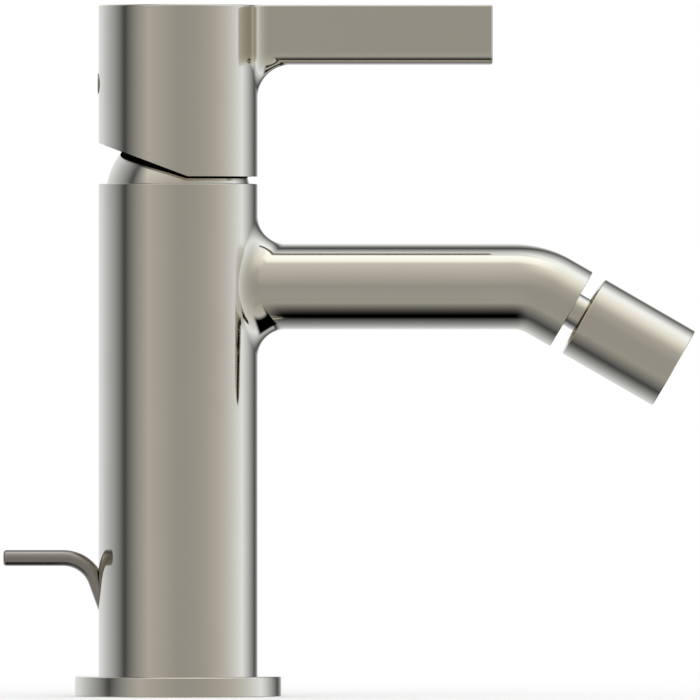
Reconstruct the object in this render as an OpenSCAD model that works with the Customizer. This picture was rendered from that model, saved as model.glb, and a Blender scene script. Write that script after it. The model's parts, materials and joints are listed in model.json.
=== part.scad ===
// Single-lever bidet mixer: a slim round column, a cap handle with a flat lever, a bent spout
// with a swivelling spray nozzle, and a lift rod for the pop-up waste at the back.
// Millimetres. The origin is the centre of the underside, +Z is up, +X is toward the spout.

/* [Column] */
// Diameter of the column and of the handle cap above it
column_d = 40; // [39:0.5:44]
// Height of the column's flat top above the deck
column_h = 128.7; // [118:0.1:150]
// Bevel round the column's top edge
column_bevel = 0.3; // [0.1:0.05:0.6]
// Diameter of the base ring
base_d = 52; // [50:0.5:60]
// Height of the base ring
base_h = 5; // [4:0.25:8]
// Bevel round the base ring's top edge
base_bevel = 0.3; // [0.1:0.05:0.8]
// Width of the column's shoulder that clamps the base ring
seat_w = 2; // [1:0.1:2.6]
// Width of the sealing ring in the underside of the base ring
gasket_w = 4; // [2:0.25:5]
// Thickness of that sealing ring
gasket_t = 1.5; // [1:0.1:2.5]

/* [Spout] */
// Outside diameter of the spout
spout_d = 21.5; // [20.5:0.25:24]
// Wall of the spout tube
spout_wall = 3; // [2.7:0.1:3.2]
// Drop from the column's top to the spout's axis
spout_drop = 25.8; // [25:0.1:34]
// Distance from the column's axis to the start of the bend
spout_reach = 85.4; // [60:0.1:120]
// Radius of the fillet between the spout and the column
spout_fillet = 7; // [4:0.25:8]
// Angle that the spout's end is turned down
bend_angle = 30; // [15:1:45]
// Radius of the bend along the tube's centre line
bend_r = 13.4; // [12.8:0.1:25]
// Straight length of tube after the bend
end_len = 7.8; // [7.4:0.1:14]

/* [Nozzle] */
// Gap between the spout's end and the nozzle, where the neck shows
nozzle_gap = 3; // [3:0.1:6]
// Diameter of the nozzle
nozzle_d = 21.5; // [21:0.25:24]
// Length of the nozzle
nozzle_len = 26.7; // [25:0.1:34]
// Diameter of the neck that carries the nozzle
neck_d = 9; // [7.5:0.1:9.4]
// Diameter of the ball inside the nozzle
ball_d = 14; // [13.4:0.1:14.4]
// Depth of the ball's centre behind the nozzle's rear face
ball_depth = 8.5; // [7.6:0.1:9]
// Wall of the two slip rings between the ball and the nozzle
slip_wall = 0.95; // [0.8:0.05:1.1]
// Outside diameter of the retaining ring that shows at the nozzle's rear
retainer_d = 17.5; // [17.4:0.05:18]
// How far the retaining ring stands proud of the nozzle's shoulder
retainer_proud = 0.3; // [0.3:0.05:0.8]
// Water way through the neck
neck_bore_d = 5.6; // [4:0.1:6]
// Wall of the nozzle round the aerator
outlet_wall = 1.55; // [1.3:0.05:2]
// Depth of the aerator's recess in the nozzle
outlet_depth = 8.2; // [8:0.1:9]

/* [Handle] */
// Gap between the column's top and the cap's lower edge
cap_gap = 1.8; // [1.4:0.1:3]
// Height of the cap
cap_h = 43.1; // [41:0.1:50]
// Slope of the cap's cut-away lower edge at the back, and the lever's lift
cap_slope = 20.7; // [15:0.1:22]
// Distance in front of the axis where the cut-away starts
cut_start = 2.5; // [0:0.1:5]
// Distance from the axis to the lever's tip
lever_reach = 79; // [60:0.5:110]
// Thickness of the lever
lever_t = 7; // [5:0.25:9]
// Height of the lever's side
lever_h = 15; // [12:0.25:18]
// Fillet between the lever's sides and the cap
lever_side_fillet = 5; // [2:0.25:6]
// Fillet between the lever's underside and the cap
lever_under_fillet = 8.2; // [4:0.1:9]
// Wall of the cap's skirt over the dome
skirt_wall = 1.4; // [1.2:0.1:1.4]
// Wall of the cap above the dome
cap_wall = 3; // [2.4:0.1:4]
// Thickness of the cap's top
cap_top_t = 4.6; // [3:0.1:6]
// Diameter of the index plug at the back
plug_d = 5.2; // [4.6:0.1:6]
// Height of the index plug's centre above the tilt axis
plug_rise = 28.55; // [27:0.05:29]

/* [Dome] */
// Inset of the dome's sphere from the column's side
dome_inset = 1.8; // [1.8:0.05:1.95]
// Wall of the dome
dome_wall = 1.4; // [1:0.1:1.5]
// Depth of the tilt axis below the column's top
pivot_drop = 3.35; // [3:0.05:4]
// Diameter of the opening in the dome's top
dome_hole_d = 17; // [16.6:0.1:19]

/* [Cartridge] */
// Diameter of the cartridge
cartridge_d = 28; // [27.6:0.1:28.6]
// Thickness of the cartridge's base
cart_base_t = 3.5; // [3.2:0.1:5]
// Thickness of the fixed ceramic disc
fixed_disc_t = 3; // [2.4:0.1:4]
// Thickness of the moving ceramic disc
moving_disc_t = 2.6; // [2.2:0.1:4]
// Diameter of the moving ceramic disc
moving_disc_d = 17.8; // [17.4:0.1:18]
// Square section of the spindle
spindle_w = 7; // [6:0.1:7.4]
// Length of the spindle above the tilt axis
spindle_rise = 33; // [31.5:0.1:35]
// Distance from the tilt axis to the spindle's lower ball
spindle_arm = 8.2; // [7.8:0.1:8.4]
// Diameter of the spindle's lower ball
spindle_ball_d = 4.4; // [4:0.1:5]
// Diameter of the spindle's pin
pin_d = 3; // [2:0.1:3.4]
// Diameter of the turning rotor's neck
rotor_d = 17.8; // [17.6:0.1:18.2]
// How far the handle turns to each side
turn_angle = 45; // [30:1:48]

/* [Lift rod] */
// Diameter of the lift rod
rod_d = 4; // [3.5:0.1:4.2]
// Height of the rod's level finger
rod_z = 34.7; // [32:0.1:50]
// Straight length of the finger
rod_finger = 15; // [10:0.5:30]
// Radius of the rod's bend along its centre line
rod_bend_r = 8.9; // [8:0.1:14]
// Slope of the rod below level where it enters the column
rod_angle = 70; // [69:0.5:74]
// How far the rod pulls up
rod_travel = 12; // [8:0.5:12]

/* [Connections] */
// Tapping diameter of the two M10 hose threads
hose_tap_d = 8.92; // [8.5:0.01:11]
// Depth of the hose threads
hose_tap_depth = 12; // [9:0.5:14]
// Half the spacing of the hose threads
hose_y = 9; // [8.6:0.1:9.4]
// Offset of the hose threads in front of the axis
hose_x = 3; // [2:0.1:4]
// Tapping diameter of the M8 thread for the fixing stud
stud_tap_d = 6.8; // [6.5:0.05:6.9]
// Depth of the stud thread
stud_tap_depth = 14; // [10:0.5:20]
// Distance of the stud thread in front of the axis
stud_x = 12.5; // [12:0.1:13]

/* [Hidden] */
$fn = 96;
eps = 0.01;

// Clearances: parts that sit still against each other, turning fits, and sliding faces
fit = 0.1;
run = 0.05;
lap = 0.05;
bend_step = 0.06;
bend_lap = 0.05;

column_r = column_d / 2;
base_r = base_d / 2;
spigot_r = column_r - seat_w;
gasket_in = column_r;
base_draft = 0.06;

dome_r = column_r - dome_inset;
mouth_r = dome_r - 0.2;
skirt_r = mouth_r - fit;
mouth_depth = 4;
pivot_z = column_h - pivot_drop;

lean = cap_slope / 2;
ball_floor_gap = 0.44;
disc_top_z = pivot_z - spindle_arm * cos(lean) - spindle_ball_d / 2 - ball_floor_gap;
moving_z = disc_top_z - moving_disc_t;
fixed_z = moving_z - lap - fixed_disc_t;
floor_z = fixed_z - cart_base_t;
socket_x = -spindle_arm * sin(lean);
disc_travel = 2 * spindle_arm * sin(lean);

cart_r = cartridge_d / 2;
chamber_r = cart_r + fit;
housing_wall = 1.8;
cart_bore_r = cart_r - housing_wall;
cart_spigot_r = cart_bore_r - fit;
cart_flange_t = cart_base_t - 1;
carrier_r = moving_disc_d / 2 - 0.2;
carrier_t = 3.35;
tongue_w = 10;
tongue_h = 1.5;
rotor_z = disc_top_z + carrier_t + fit;
flange_t = 2.9;
flange_r = cart_bore_r - 0.2;
neck_r = rotor_d / 2;
neck_bore_r = neck_r + run;
roof_t = 1.3;
shoulder_z = rotor_z + flange_t + roof_t;
collar_wall = 2.1;
collar_r = neck_r + collar_wall;
collar_rise = 6.15;
housing_top = pivot_z + collar_rise;
rotor_proud = 1.7;
rotor_top = housing_top + rotor_proud;
slot_half = 5.6;
slot_w = spindle_w + 2 * run;
groove_drop = 3.7;
groove_z = housing_top - groove_drop;

mouth_wall = 3;
nut_bore_r = column_r - mouth_wall;
nut_r = nut_bore_r - fit;
nut_top = column_h - mouth_depth - 0.2;
nut_grip = 4.8;
nut_z = shoulder_z - nut_grip;
nut_step_z = nut_z - 0.2;
hex_r = 15;
hex_h = 3.5;
hex_top = nut_top + hex_h;
stop_r = 13.5;
stop_window_r = 11.7;
lug_r = 11.2;
lug_angle = 10;

port_r = 1.9;
port_ring = 4.6;
outlet_port_r = 2.6;
outlet_port_x = -3;
cavity_r = 4;
cavity_t = 1.5;
inlet_r = 2.5;
outlet_r = 3.2;
outlet_x = -5;
seal_lip = 1.1;
seat_seal_t = 0.9;
disc_seal_t = 0.8;
peg_r = 1.5;
peg_len = 2;
peg_at = [-3.5, cart_r - 3.5];
key_r = 1.5;

gallery_r = 3.8;
gallery_z = floor_z - 3.2 - gallery_r;
core_r = 6;
core_z = hose_tap_depth + 4;
core_top = gallery_z - gallery_r - 3;
feed_r = 3.5;

spout_r = spout_d / 2;
spout_bore_r = spout_r - spout_wall;
spout_z = column_h - spout_drop;
spout_bore_x = chamber_r + 3.9;

adapter_r = spout_bore_r + 0.25;
adapter_in = 0.7;
adapter_out = end_len - 0.3;
adapter_lip = 0.8;
stud_r = 6;
stud_seal_t = 0.8;

nozzle_r = nozzle_d / 2;
retainer_r = retainer_d / 2;
ball_r = ball_d / 2;
slip_in = ball_r + run;
slip_out = slip_in + slip_wall;
pocket_r = slip_out + run;
ball_s = end_len + nozzle_gap + ball_depth;
nozzle_back = -ball_depth;
nozzle_front = nozzle_back + nozzle_len;
shoulder_w = nozzle_back + retainer_proud;
retainer_end = -1;
lip_w = -3.8;
lip_r = ball_r - 0.9;
mouth_w_r = neck_d / 2 + 2.5;
rear_ring = [lip_w + fit, -0.9];
front_ring = [1.9, 4.7];
passage_r = 5.1;
outlet_w = nozzle_front - outlet_depth;
outlet_r_in = nozzle_r - outlet_wall;
shell_r = outlet_r_in - fit;
shell_wall = 1;
washer_t = 1.9;
shell_z = outlet_w + washer_t;
shell_end = nozzle_front - 0.2;
jet_r = shell_r - shell_wall - fit;
lip_t = 1;
screen_t = 0.8;
jet_t = 3.4;

rod_r = rod_d / 2;
rod_gap = 0.54;
rod_exit_x = -(column_r + rod_gap);
rod_exit_z = rod_z - rod_bend_r * (1 - cos(rod_angle));
rod_bend_x = rod_exit_x - rod_bend_r * sin(rod_angle);
rod_end_z = 1.2;
rod_sunk = (rod_exit_z - rod_end_z) / sin(rod_angle);
rod_tip_round = 0.7;
guide_wall = 0.85;
guide_r = rod_r + run + guide_wall;
guide_skin = 0.9;
guide_in = (rod_gap + guide_skin + guide_r / sin(rod_angle)) / cos(rod_angle);
guide_len = rod_travel;

cap_z = column_h + cap_gap;
cap_top = cap_z + cap_h;
handle_r = column_r;
skirt_bore_r = handle_r - skirt_wall;
skirt_top = pivot_z + dome_r + 6;
cap_bore_r = handle_r - cap_wall;
lever_z = cap_top - lever_h;
lever_r = lever_t / 2;
socket_start = dome_r + 2.3;
socket_r = 7.5;
plug_z = pivot_z + plug_rise;
plug_r = plug_d / 2;
plug_proud = 0.2;
plug_depth = 2.4;
screw_r = 2.5;
screw_len = 8;
screw_tip = 1;
spindle_x = plug_rise * tan(lean);
rib_r = 4.5;

collar_steps = 48;
collar_arcs = 7;
collar_sink = 0.05;

metal = [0.62, 0.60, 0.55];
metal_dark = [0.50, 0.48, 0.44];
brass = [0.80, 0.66, 0.36];
polymer = [0.88, 0.88, 0.86];
rubber = [0.15, 0.15, 0.16];
ceramic = [0.94, 0.93, 0.90];
steel = [0.66, 0.67, 0.69];

// Places with their own axes
module at_bend() {
    translate([spout_reach, 0, spout_z - bend_r])
        children();
}

module at_spout_end(s) {
    at_bend()
        rotate([0, bend_angle, 0])
            translate([s, 0, bend_r])
                rotate([0, 90, 0])
                    children();
}

module at_ball() {
    at_spout_end(ball_s)
        children();
}

module at_pivot() {
    translate([0, 0, pivot_z])
        rotate([0, lean, 0])
            children();
}

module at_rod_bend() {
    translate([rod_bend_x, 0, rod_z - rod_bend_r])
        children();
}

module at_rod_exit(s) {
    at_rod_bend()
        rotate([0, rod_angle, 0])
            translate([s, 0, rod_bend_r])
                rotate([0, 90, 0])
                    children();
}

// Shapes used more than once
module ring(r_out, r_in, h) {
    difference() {
        cylinder(r = r_out, h = h);
        translate([0, 0, -1])
            cylinder(r = r_in, h = h + 2);
    }
}

module cord_ring(r, cord_r) {
    rotate_extrude()
        translate([r, 0])
            circle(cord_r, $fn = 32);
}

// A bend about the Y axis, from straight up, turned toward +X by an angle. It is a hair thinner
// than the straight tubes, which lap over its two ends.
module bend_sector(path_r, r, angle) {
    rotate([90, 0, 0])
        rotate([0, 0, 90 - angle])
            rotate_extrude(angle = angle)
                translate([path_r, 0])
                    circle(r - bend_step);
}

module both_sides() {
    for (side = [-1, 1])
        translate([hose_x, side * hose_y, 0])
            children();
}

// The saddle fillet: in each plane through the spout's axis the column's section is an ellipse,
// and the fillet is the arc that touches it and the spout's side. A bisection finds where.
function section_normal(t, c) =
    let (n = [cos(t), c * sin(t)])
    n / norm(n);
function arc_height(t, c) = column_r / c * sin(t) + spout_fillet * section_normal(t, c)[1];
function touch_angle(c, low, high, left) =
    let (mid = (low + high) / 2)
    left == 0 ? mid
    : arc_height(mid, c) > spout_r + spout_fillet ? touch_angle(c, low, mid, left - 1)
    : touch_angle(c, mid, high, left - 1);
function collar_ring(a) =
    let (
        c = max(abs(cos(a)), 0.001),
        t = touch_angle(c, 0, 90, 40),
        n = section_normal(t, c),
        centre_x = column_r * cos(t) + spout_fillet * n[0],
        start = 180 + atan2(n[1], n[0]),
        arc_r = spout_fillet + collar_sink
    )
    [
        for (j = [0:collar_arcs])
            let (
                b = start + (270 - start) * j / collar_arcs,
                rho = spout_r + spout_fillet + arc_r * sin(b)
            )
            [centre_x + arc_r * cos(b), rho * cos(a), spout_z + rho * sin(a)]
    ];

module spout_collar() {
    n = collar_steps;
    m = collar_arcs + 1;
    skin = [for (i = [0:n - 1]) each collar_ring(360 * i / n)];
    ends = [[column_r / 3, 0, spout_z], [column_r * 0.9, 0, spout_z]];
    sides = [
        for (i = [0:n - 1], j = [0:m - 2])
            let (k = (i + 1) % n)
            each [
                [i * m + j, i * m + j + 1, k * m + j + 1],
                [i * m + j, k * m + j + 1, k * m + j]
            ]
    ];
    caps = [
        for (i = [0:n - 1])
            let (k = (i + 1) % n)
            each [
                [n * m, i * m, k * m],
                [n * m + 1, k * m + m - 1, i * m + m - 1]
            ]
    ];
    polyhedron(points = concat(skin, ends), faces = concat(sides, caps));
}

// The spout's tube as a solid rod of radius r, from x along the straight and round the bend
module spout_path(r, x) {
    at_bend()
        translate([x - spout_reach, 0, bend_r])
            rotate([0, 90, 0])
                cylinder(r = r, h = spout_reach - x + bend_lap);
    at_bend()
        bend_sector(bend_r, r, bend_angle);
    at_spout_end(-bend_lap)
        cylinder(r = r, h = end_len + bend_lap);
}

module column_outside() {
    rotate_extrude()
        polygon([
            [0, 0],
            [spigot_r, 0],
            [spigot_r, base_h],
            [column_r, base_h],
            [column_r, column_h - column_bevel],
            [column_r - column_bevel, column_h],
            [0, column_h]
        ]);
}

module spout_inside() {
    spout_path(spout_bore_r, spout_bore_x);
    at_spout_end(adapter_in)
        cylinder(r = adapter_r + fit / 2, h = end_len);
}

module cartridge_chamber() {
    translate([0, 0, floor_z])
        cylinder(r = chamber_r, h = column_h);
    translate([0, 0, nut_step_z])
        cylinder(r = nut_bore_r, h = column_h);
    translate([0, 0, column_h - mouth_depth])
        cylinder(r = mouth_r, h = column_h);
    for (side = [-1, 1])
        translate([peg_at[0], side * peg_at[1], floor_z - peg_len - 0.3])
            cylinder(r = peg_r + fit / 2, h = peg_len + 1);
}

module water_ways() {
    both_sides() {
        translate([0, 0, -1])
            cylinder(d = hose_tap_d, h = hose_tap_depth + 1);
        cylinder(r = feed_r, h = core_z + 1);
        translate([0, 0, core_z])
            cylinder(r = core_r, h = core_top - core_z);
        translate([0, 0, core_z])
            cylinder(r = inlet_r, h = floor_z - core_z + 1);
    }
    translate([outlet_x, 0, gallery_z])
        cylinder(r = outlet_r, h = floor_z - gallery_z + 1);
    translate([outlet_x, 0, gallery_z])
        rotate([0, 90, 0])
            cylinder(r = gallery_r, h = spout_bore_x + 2 - outlet_x);
    translate([outlet_x, 0, gallery_z])
        sphere(gallery_r);
}

module rod_way() {
    at_rod_exit(-8)
        cylinder(r = rod_r + 0.3, h = 8 + guide_in + 1);
    at_rod_exit(guide_in)
        cylinder(r = guide_r + fit / 2, h = rod_sunk);
}

module column_body() {
    color(metal)
        difference() {
            union() {
                column_outside();
                spout_path(spout_r, 0);
                spout_collar();
            }
            cartridge_chamber();
            spout_inside();
            water_ways();
            rod_way();
            translate([stud_x, 0, -1])
                cylinder(d = stud_tap_d, h = stud_tap_depth + 1);
        }
}

module base_ring() {
    color(metal)
        difference() {
            rotate_extrude()
                polygon([
                    [spigot_r + fit, 0],
                    [base_r, 0],
                    [base_r - base_draft, base_h - base_bevel],
                    [base_r - base_draft - base_bevel, base_h],
                    [spigot_r + fit, base_h]
                ]);
            translate([0, 0, -eps])
                ring(gasket_in + gasket_w, gasket_in, gasket_t + eps);
        }
}

module base_gasket() {
    color(rubber)
        ring(gasket_in + gasket_w - run, gasket_in + run, gasket_t);
}

// The cartridge, from its seat upwards
module inlet_places(r_from_axis) {
    for (side = [-1, 1])
        translate([r_from_axis, side * r_from_axis, 0])
            children();
}

module inlet_link(side) {
    from = [hose_x, side * hose_y];
    to = [port_ring, side * port_ring];
    span = to - from;
    translate([from[0], from[1], 0])
        rotate([0, 0, atan2(span[1], span[0])])
            translate([0, -port_r, 0])
                cube([norm(span), 2 * port_r, 1.2]);
}

module cartridge_base() {
    color(polymer)
        translate([0, 0, floor_z])
            difference() {
                union() {
                    cylinder(r = cart_r, h = cart_flange_t);
                    cylinder(r = cart_spigot_r, h = cart_base_t);
                    for (side = [-1, 1]) {
                        translate([peg_at[0], side * peg_at[1], -peg_len])
                            cylinder(r = peg_r, h = peg_len + 1);
                        intersection() {
                            translate([0, side * cart_spigot_r, 0])
                                cylinder(r = key_r, h = cart_base_t + fixed_disc_t - 0.6);
                            cylinder(r = cart_spigot_r, h = cart_base_t + fixed_disc_t);
                        }
                    }
                }
                both_sides() {
                    translate([0, 0, -1])
                        cylinder(r = inlet_r, h = cart_flange_t - 0.3 + 1);
                    translate([0, 0, -1])
                        cylinder(r = inlet_r + seal_lip, h = seat_seal_t + 1);
                }
                for (side = [-1, 1])
                    translate([0, 0, cart_flange_t - 1.5])
                        inlet_link(side);
                inlet_places(port_ring) {
                    translate([0, 0, cart_flange_t - 1.5])
                        cylinder(r = port_r, h = cart_base_t);
                    translate([0, 0, cart_base_t - disc_seal_t])
                        cylinder(r = port_r + seal_lip, h = disc_seal_t + 1);
                }
                translate([outlet_x, 0, -1])
                    cylinder(r = outlet_r, h = cart_base_t - disc_seal_t - 0.6 + 1);
                translate([outlet_x, 0, -1])
                    cylinder(r = outlet_r + seal_lip, h = seat_seal_t + 1);
                translate([outlet_port_x, 0, seat_seal_t])
                    cylinder(r = outlet_port_r, h = cart_base_t);
                translate([outlet_port_x, 0, cart_base_t - disc_seal_t])
                    cylinder(r = outlet_port_r + seal_lip, h = disc_seal_t + 1);
            }
}

module seat_seals() {
    color(rubber)
        translate([0, 0, floor_z]) {
            both_sides()
                ring(inlet_r + seal_lip - run, inlet_r + run, seat_seal_t);
            translate([outlet_x, 0, 0])
                ring(outlet_r + seal_lip - run, outlet_r + run, seat_seal_t);
        }
}

module disc_seals() {
    color(rubber)
        translate([0, 0, fixed_z - disc_seal_t]) {
            inlet_places(port_ring)
                ring(port_r + seal_lip - run, port_r + run, disc_seal_t);
            translate([outlet_port_x, 0, 0])
                ring(outlet_port_r + seal_lip - run, outlet_port_r + run, disc_seal_t);
        }
}

module fixed_disc() {
    color(ceramic)
        translate([0, 0, fixed_z])
            difference() {
                cylinder(r = cart_spigot_r - fit, h = fixed_disc_t);
                inlet_places(port_ring)
                    translate([0, 0, -1])
                        cylinder(r = port_r, h = fixed_disc_t + 2);
                translate([outlet_port_x, 0, -1])
                    cylinder(r = outlet_port_r, h = fixed_disc_t + 2);
                for (side = [-1, 1])
                    translate([0, side * cart_spigot_r, -1])
                        cylinder(r = key_r + fit, h = fixed_disc_t + 2);
            }
}

module cartridge_housing() {
    bottom = floor_z + cart_flange_t;
    roof = rotor_z + flange_t + fit;
    color(polymer)
        difference() {
            union() {
                translate([0, 0, bottom])
                    cylinder(r = cart_r, h = shoulder_z - bottom);
                translate([0, 0, bottom])
                    cylinder(r = collar_r, h = housing_top - bottom);
            }
            translate([0, 0, bottom - 1])
                cylinder(r = cart_bore_r, h = roof - bottom + 1);
            translate([0, 0, bottom])
                cylinder(r = neck_bore_r, h = housing_top);
        }
}

module cartridge_nut() {
    color(brass)
        difference() {
            union() {
                translate([0, 0, nut_z])
                    cylinder(r = nut_r, h = nut_top - nut_z);
                translate([0, 0, nut_top - 1])
                    cylinder(r = hex_r, h = hex_top - nut_top + 1, $fn = 6);
            }
            translate([0, 0, nut_z - 1])
                cylinder(r = cart_r + fit, h = shoulder_z - nut_z + 1);
            translate([0, 0, nut_z])
                cylinder(r = collar_r + fit, h = hex_top);
        }
}

// The rotor's lug runs in a window of this ring, whose ends stop the turn
module turn_limit_ring() {
    half = turn_angle + lug_angle + 0.5;
    color(polymer)
        difference() {
            translate([0, 0, hex_top])
                cylinder(r = stop_r, h = rotor_top - 0.2 - hex_top);
            translate([0, 0, hex_top - 1])
                cylinder(r = collar_r + run, h = housing_top - hex_top + 1);
            translate([0, 0, hex_top])
                cylinder(r = neck_r + 0.2, h = rotor_top);
            translate([0, 0, housing_top])
                rotate([0, 0, 180 - half])
                    rotate_extrude(angle = 2 * half)
                        translate([neck_r - 1, 0])
                            square([stop_window_r - neck_r + 1, rotor_proud * 2]);
        }
}

module dome_cover() {
    floor_of_skirt = column_h - mouth_depth + fit;
    color(metal)
        difference() {
            intersection() {
                translate([0, 0, pivot_z])
                    sphere(dome_r);
                translate([0, 0, floor_of_skirt])
                    cylinder(r = skirt_r, h = dome_r * 2);
            }
            translate([0, 0, pivot_z])
                sphere(dome_r - dome_wall);
            translate([0, 0, floor_of_skirt - 1])
                cylinder(r = dome_r - dome_wall - 0.4, h = pivot_z - floor_of_skirt + 1);
            translate([0, 0, pivot_z])
                cylinder(d = dome_hole_d, h = dome_r * 2);
            translate([0, 0, column_h - mouth_depth / 2])
                rotate_extrude()
                    translate([skirt_r - 0.95, -0.6])
                        square([2, 1.2]);
        }
}

module dome_seal() {
    color(rubber)
        translate([0, 0, column_h - mouth_depth / 2])
            cord_ring(skirt_r - 0.45, 0.48);
}

// The rotor turns in the housing and carries the spindle on its pin
module rotor() {
    color(polymer)
        difference() {
            union() {
                translate([0, 0, rotor_z])
                    cylinder(r = flange_r, h = flange_t);
                translate([0, 0, rotor_z])
                    cylinder(r = neck_r, h = rotor_top - rotor_z);
                translate([0, 0, housing_top + 0.2])
                    rotate([0, 0, 180 - lug_angle])
                        rotate_extrude(angle = 2 * lug_angle)
                            translate([neck_r - 1, 0])
                                square([lug_r - neck_r + 1, rotor_top - housing_top - 0.4]);
            }
            translate([-slot_half, -slot_w / 2, rotor_z - 1])
                cube([2 * slot_half, slot_w, rotor_top]);
            translate([-column_r, -tongue_w / 2 - run, rotor_z - 1])
                cube([column_d, tongue_w + 2 * run, tongue_h + 1.2]);
            translate([0, 0, pivot_z])
                rotate([90, 0, 0])
                    cylinder(d = pin_d + 0.02, h = column_d, center = true);
            translate([0, 0, groove_z])
                rotate_extrude()
                    translate([neck_r - 1.05, -0.7])
                        square([2, 1.4]);
        }
}

module rotor_seal() {
    color(rubber)
        translate([0, 0, groove_z])
            cord_ring(neck_r - 0.48, 0.5);
}

module spindle_pin() {
    color(steel)
        translate([0, 0, pivot_z])
            rotate([90, 0, 0])
                cylinder(d = pin_d, h = 2 * neck_r - 0.6, center = true);
}

module spindle() {
    color(brass)
        at_pivot()
            difference() {
                union() {
                    rotate([90, 0, 0])
                        cylinder(r = spindle_w * 0.55, h = spindle_w, center = true);
                    translate([-spindle_w / 2, -spindle_w / 2, 0])
                        cube([spindle_w, spindle_w, spindle_rise]);
                    translate([0, 0, -spindle_arm])
                        cylinder(d = spindle_ball_d - 0.8, h = spindle_arm);
                    translate([0, 0, -spindle_arm])
                        sphere(d = spindle_ball_d);
                }
                rotate([90, 0, 0])
                    cylinder(d = pin_d + 2 * run, h = column_d, center = true);
            }
}

module disc_carrier() {
    color(polymer)
        difference() {
            union() {
                translate([0, 0, disc_top_z])
                    cylinder(r = carrier_r, h = carrier_t);
                translate([-7, -tongue_w / 2, disc_top_z])
                    cube([14, tongue_w, carrier_t + tongue_h]);
            }
            translate([socket_x, 0, disc_top_z - 1])
                cylinder(d = spindle_ball_d + 2 * run, h = 10);
        }
}

module moving_disc() {
    color(ceramic)
        difference() {
            translate([0, 0, moving_z])
                cylinder(d = moving_disc_d, h = moving_disc_t);
            for (x = [0, -disc_travel])
                translate([x, 0, moving_z - 1])
                    cylinder(r = cavity_r, h = cavity_t + 1);
            translate([-disc_travel, -cavity_r, moving_z - 1])
                cube([disc_travel, 2 * cavity_r, cavity_t + 1]);
        }
}

// The handle: a hollow cap with a flat lever whose lower edge is fully rounded
module lever_blade() {
    arc = lever_under_fillet + lever_r;
    start_x = handle_r + lever_under_fillet;
    low_z = lever_z - lever_under_fillet;
    rotate([90, 0, 0])
        linear_extrude(lever_t, center = true)
            difference() {
                translate([handle_r / 2, low_z])
                    square([lever_reach - handle_r / 2, cap_top - low_z]);
                translate([start_x, low_z])
                    circle(arc);
                translate([start_x, low_z - 1])
                    square([lever_reach, arc + 1]);
            }
    translate([start_x, 0, low_z + arc])
        rotate([0, 90, 0])
            cylinder(r = lever_r, h = lever_reach - start_x);
    translate([start_x, 0, low_z])
        rotate([90, 0, 0])
            rotate([0, 0, 90])
                rotate_extrude(angle = 90)
                    translate([arc, 0])
                        circle(lever_r);
}

module lever_flare() {
    low_z = lever_z - lever_under_fillet;
    centre_y = lever_r + lever_side_fillet;
    centre_x = sqrt(pow(handle_r + lever_side_fillet, 2) - pow(centre_y, 2));
    touch = handle_r / (handle_r + lever_side_fillet);
    intersection() {
        translate([0, 0, low_z])
            linear_extrude(cap_top - low_z)
                difference() {
                    polygon([
                        [handle_r / 2, -lever_r],
                        [centre_x * touch, -centre_y * touch],
                        [centre_x, -centre_y],
                        [centre_x, centre_y],
                        [centre_x * touch, centre_y * touch],
                        [handle_r / 2, lever_r]
                    ]);
                    for (side = [-1, 1])
                        translate([centre_x, side * centre_y])
                            circle(lever_side_fillet);
                }
        rotate([90, 0, 0])
            linear_extrude(column_d, center = true)
                difference() {
                    translate([0, low_z])
                        square([lever_reach, cap_top - low_z]);
                    translate([handle_r + lever_under_fillet, low_z])
                        circle(lever_under_fillet);
                }
    }
}

module cap_hollow() {
    translate([0, 0, cap_z - 1])
        cylinder(r = skirt_bore_r, h = skirt_top - cap_z + 1);
    translate([0, 0, cap_z - 1])
        cylinder(r = cap_bore_r, h = cap_h - cap_top_t + 1);
}

module handle() {
    color(metal)
        difference() {
            union() {
                difference() {
                    union() {
                        translate([0, 0, cap_z])
                            cylinder(r = handle_r, h = cap_h);
                        lever_blade();
                        lever_flare();
                    }
                    cap_hollow();
                }
                intersection() {
                    at_pivot()
                        translate([0, 0, socket_start])
                            cylinder(r = socket_r, h = cap_h);
                    translate([0, 0, cap_z])
                        cylinder(r = handle_r - 1, h = cap_h - 1);
                }
                translate([-handle_r + 1, 0, plug_z])
                    rotate([0, 90, 0])
                        cylinder(r = rib_r, h = handle_r - 1);
            }
            translate([cut_start, 0, cap_z])
                rotate([0, cap_slope, 0])
                    translate([-column_d * 2, -column_d, -column_d])
                        cube([column_d * 2, column_d * 2, column_d]);
            at_pivot()
                translate([-spindle_w / 2 - run, -spindle_w / 2 - run, 0])
                    cube([spindle_w + 2 * run, spindle_w + 2 * run, spindle_rise + 0.5]);
            translate([-handle_r - 1, 0, plug_z])
                rotate([0, 90, 0])
                    cylinder(r = plug_r + run, h = plug_depth + 1 + fit);
            translate([-handle_r, 0, plug_z])
                rotate([0, 90, 0])
                    cylinder(r = screw_r + run, h = handle_r + spindle_x);
        }
}

module handle_screw() {
    tip_x = spindle_x - spindle_w / 2 / cos(lean) - 0.15;
    color(steel)
        translate([tip_x, 0, plug_z])
            rotate([0, -90, 0])
                difference() {
                    union() {
                        cylinder(r1 = 0.6, r2 = screw_r, h = screw_tip + eps);
                        translate([0, 0, screw_tip])
                            cylinder(r = screw_r, h = screw_len - screw_tip);
                    }
                    translate([0, 0, screw_len - 2.5])
                        cylinder(r = 1.45, h = 4, $fn = 6);
                }
}

module index_plug() {
    color(metal_dark)
        translate([-handle_r - plug_proud, 0, plug_z])
            rotate([0, 90, 0])
                cylinder(r = plug_r, h = plug_depth + plug_proud);
}

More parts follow.
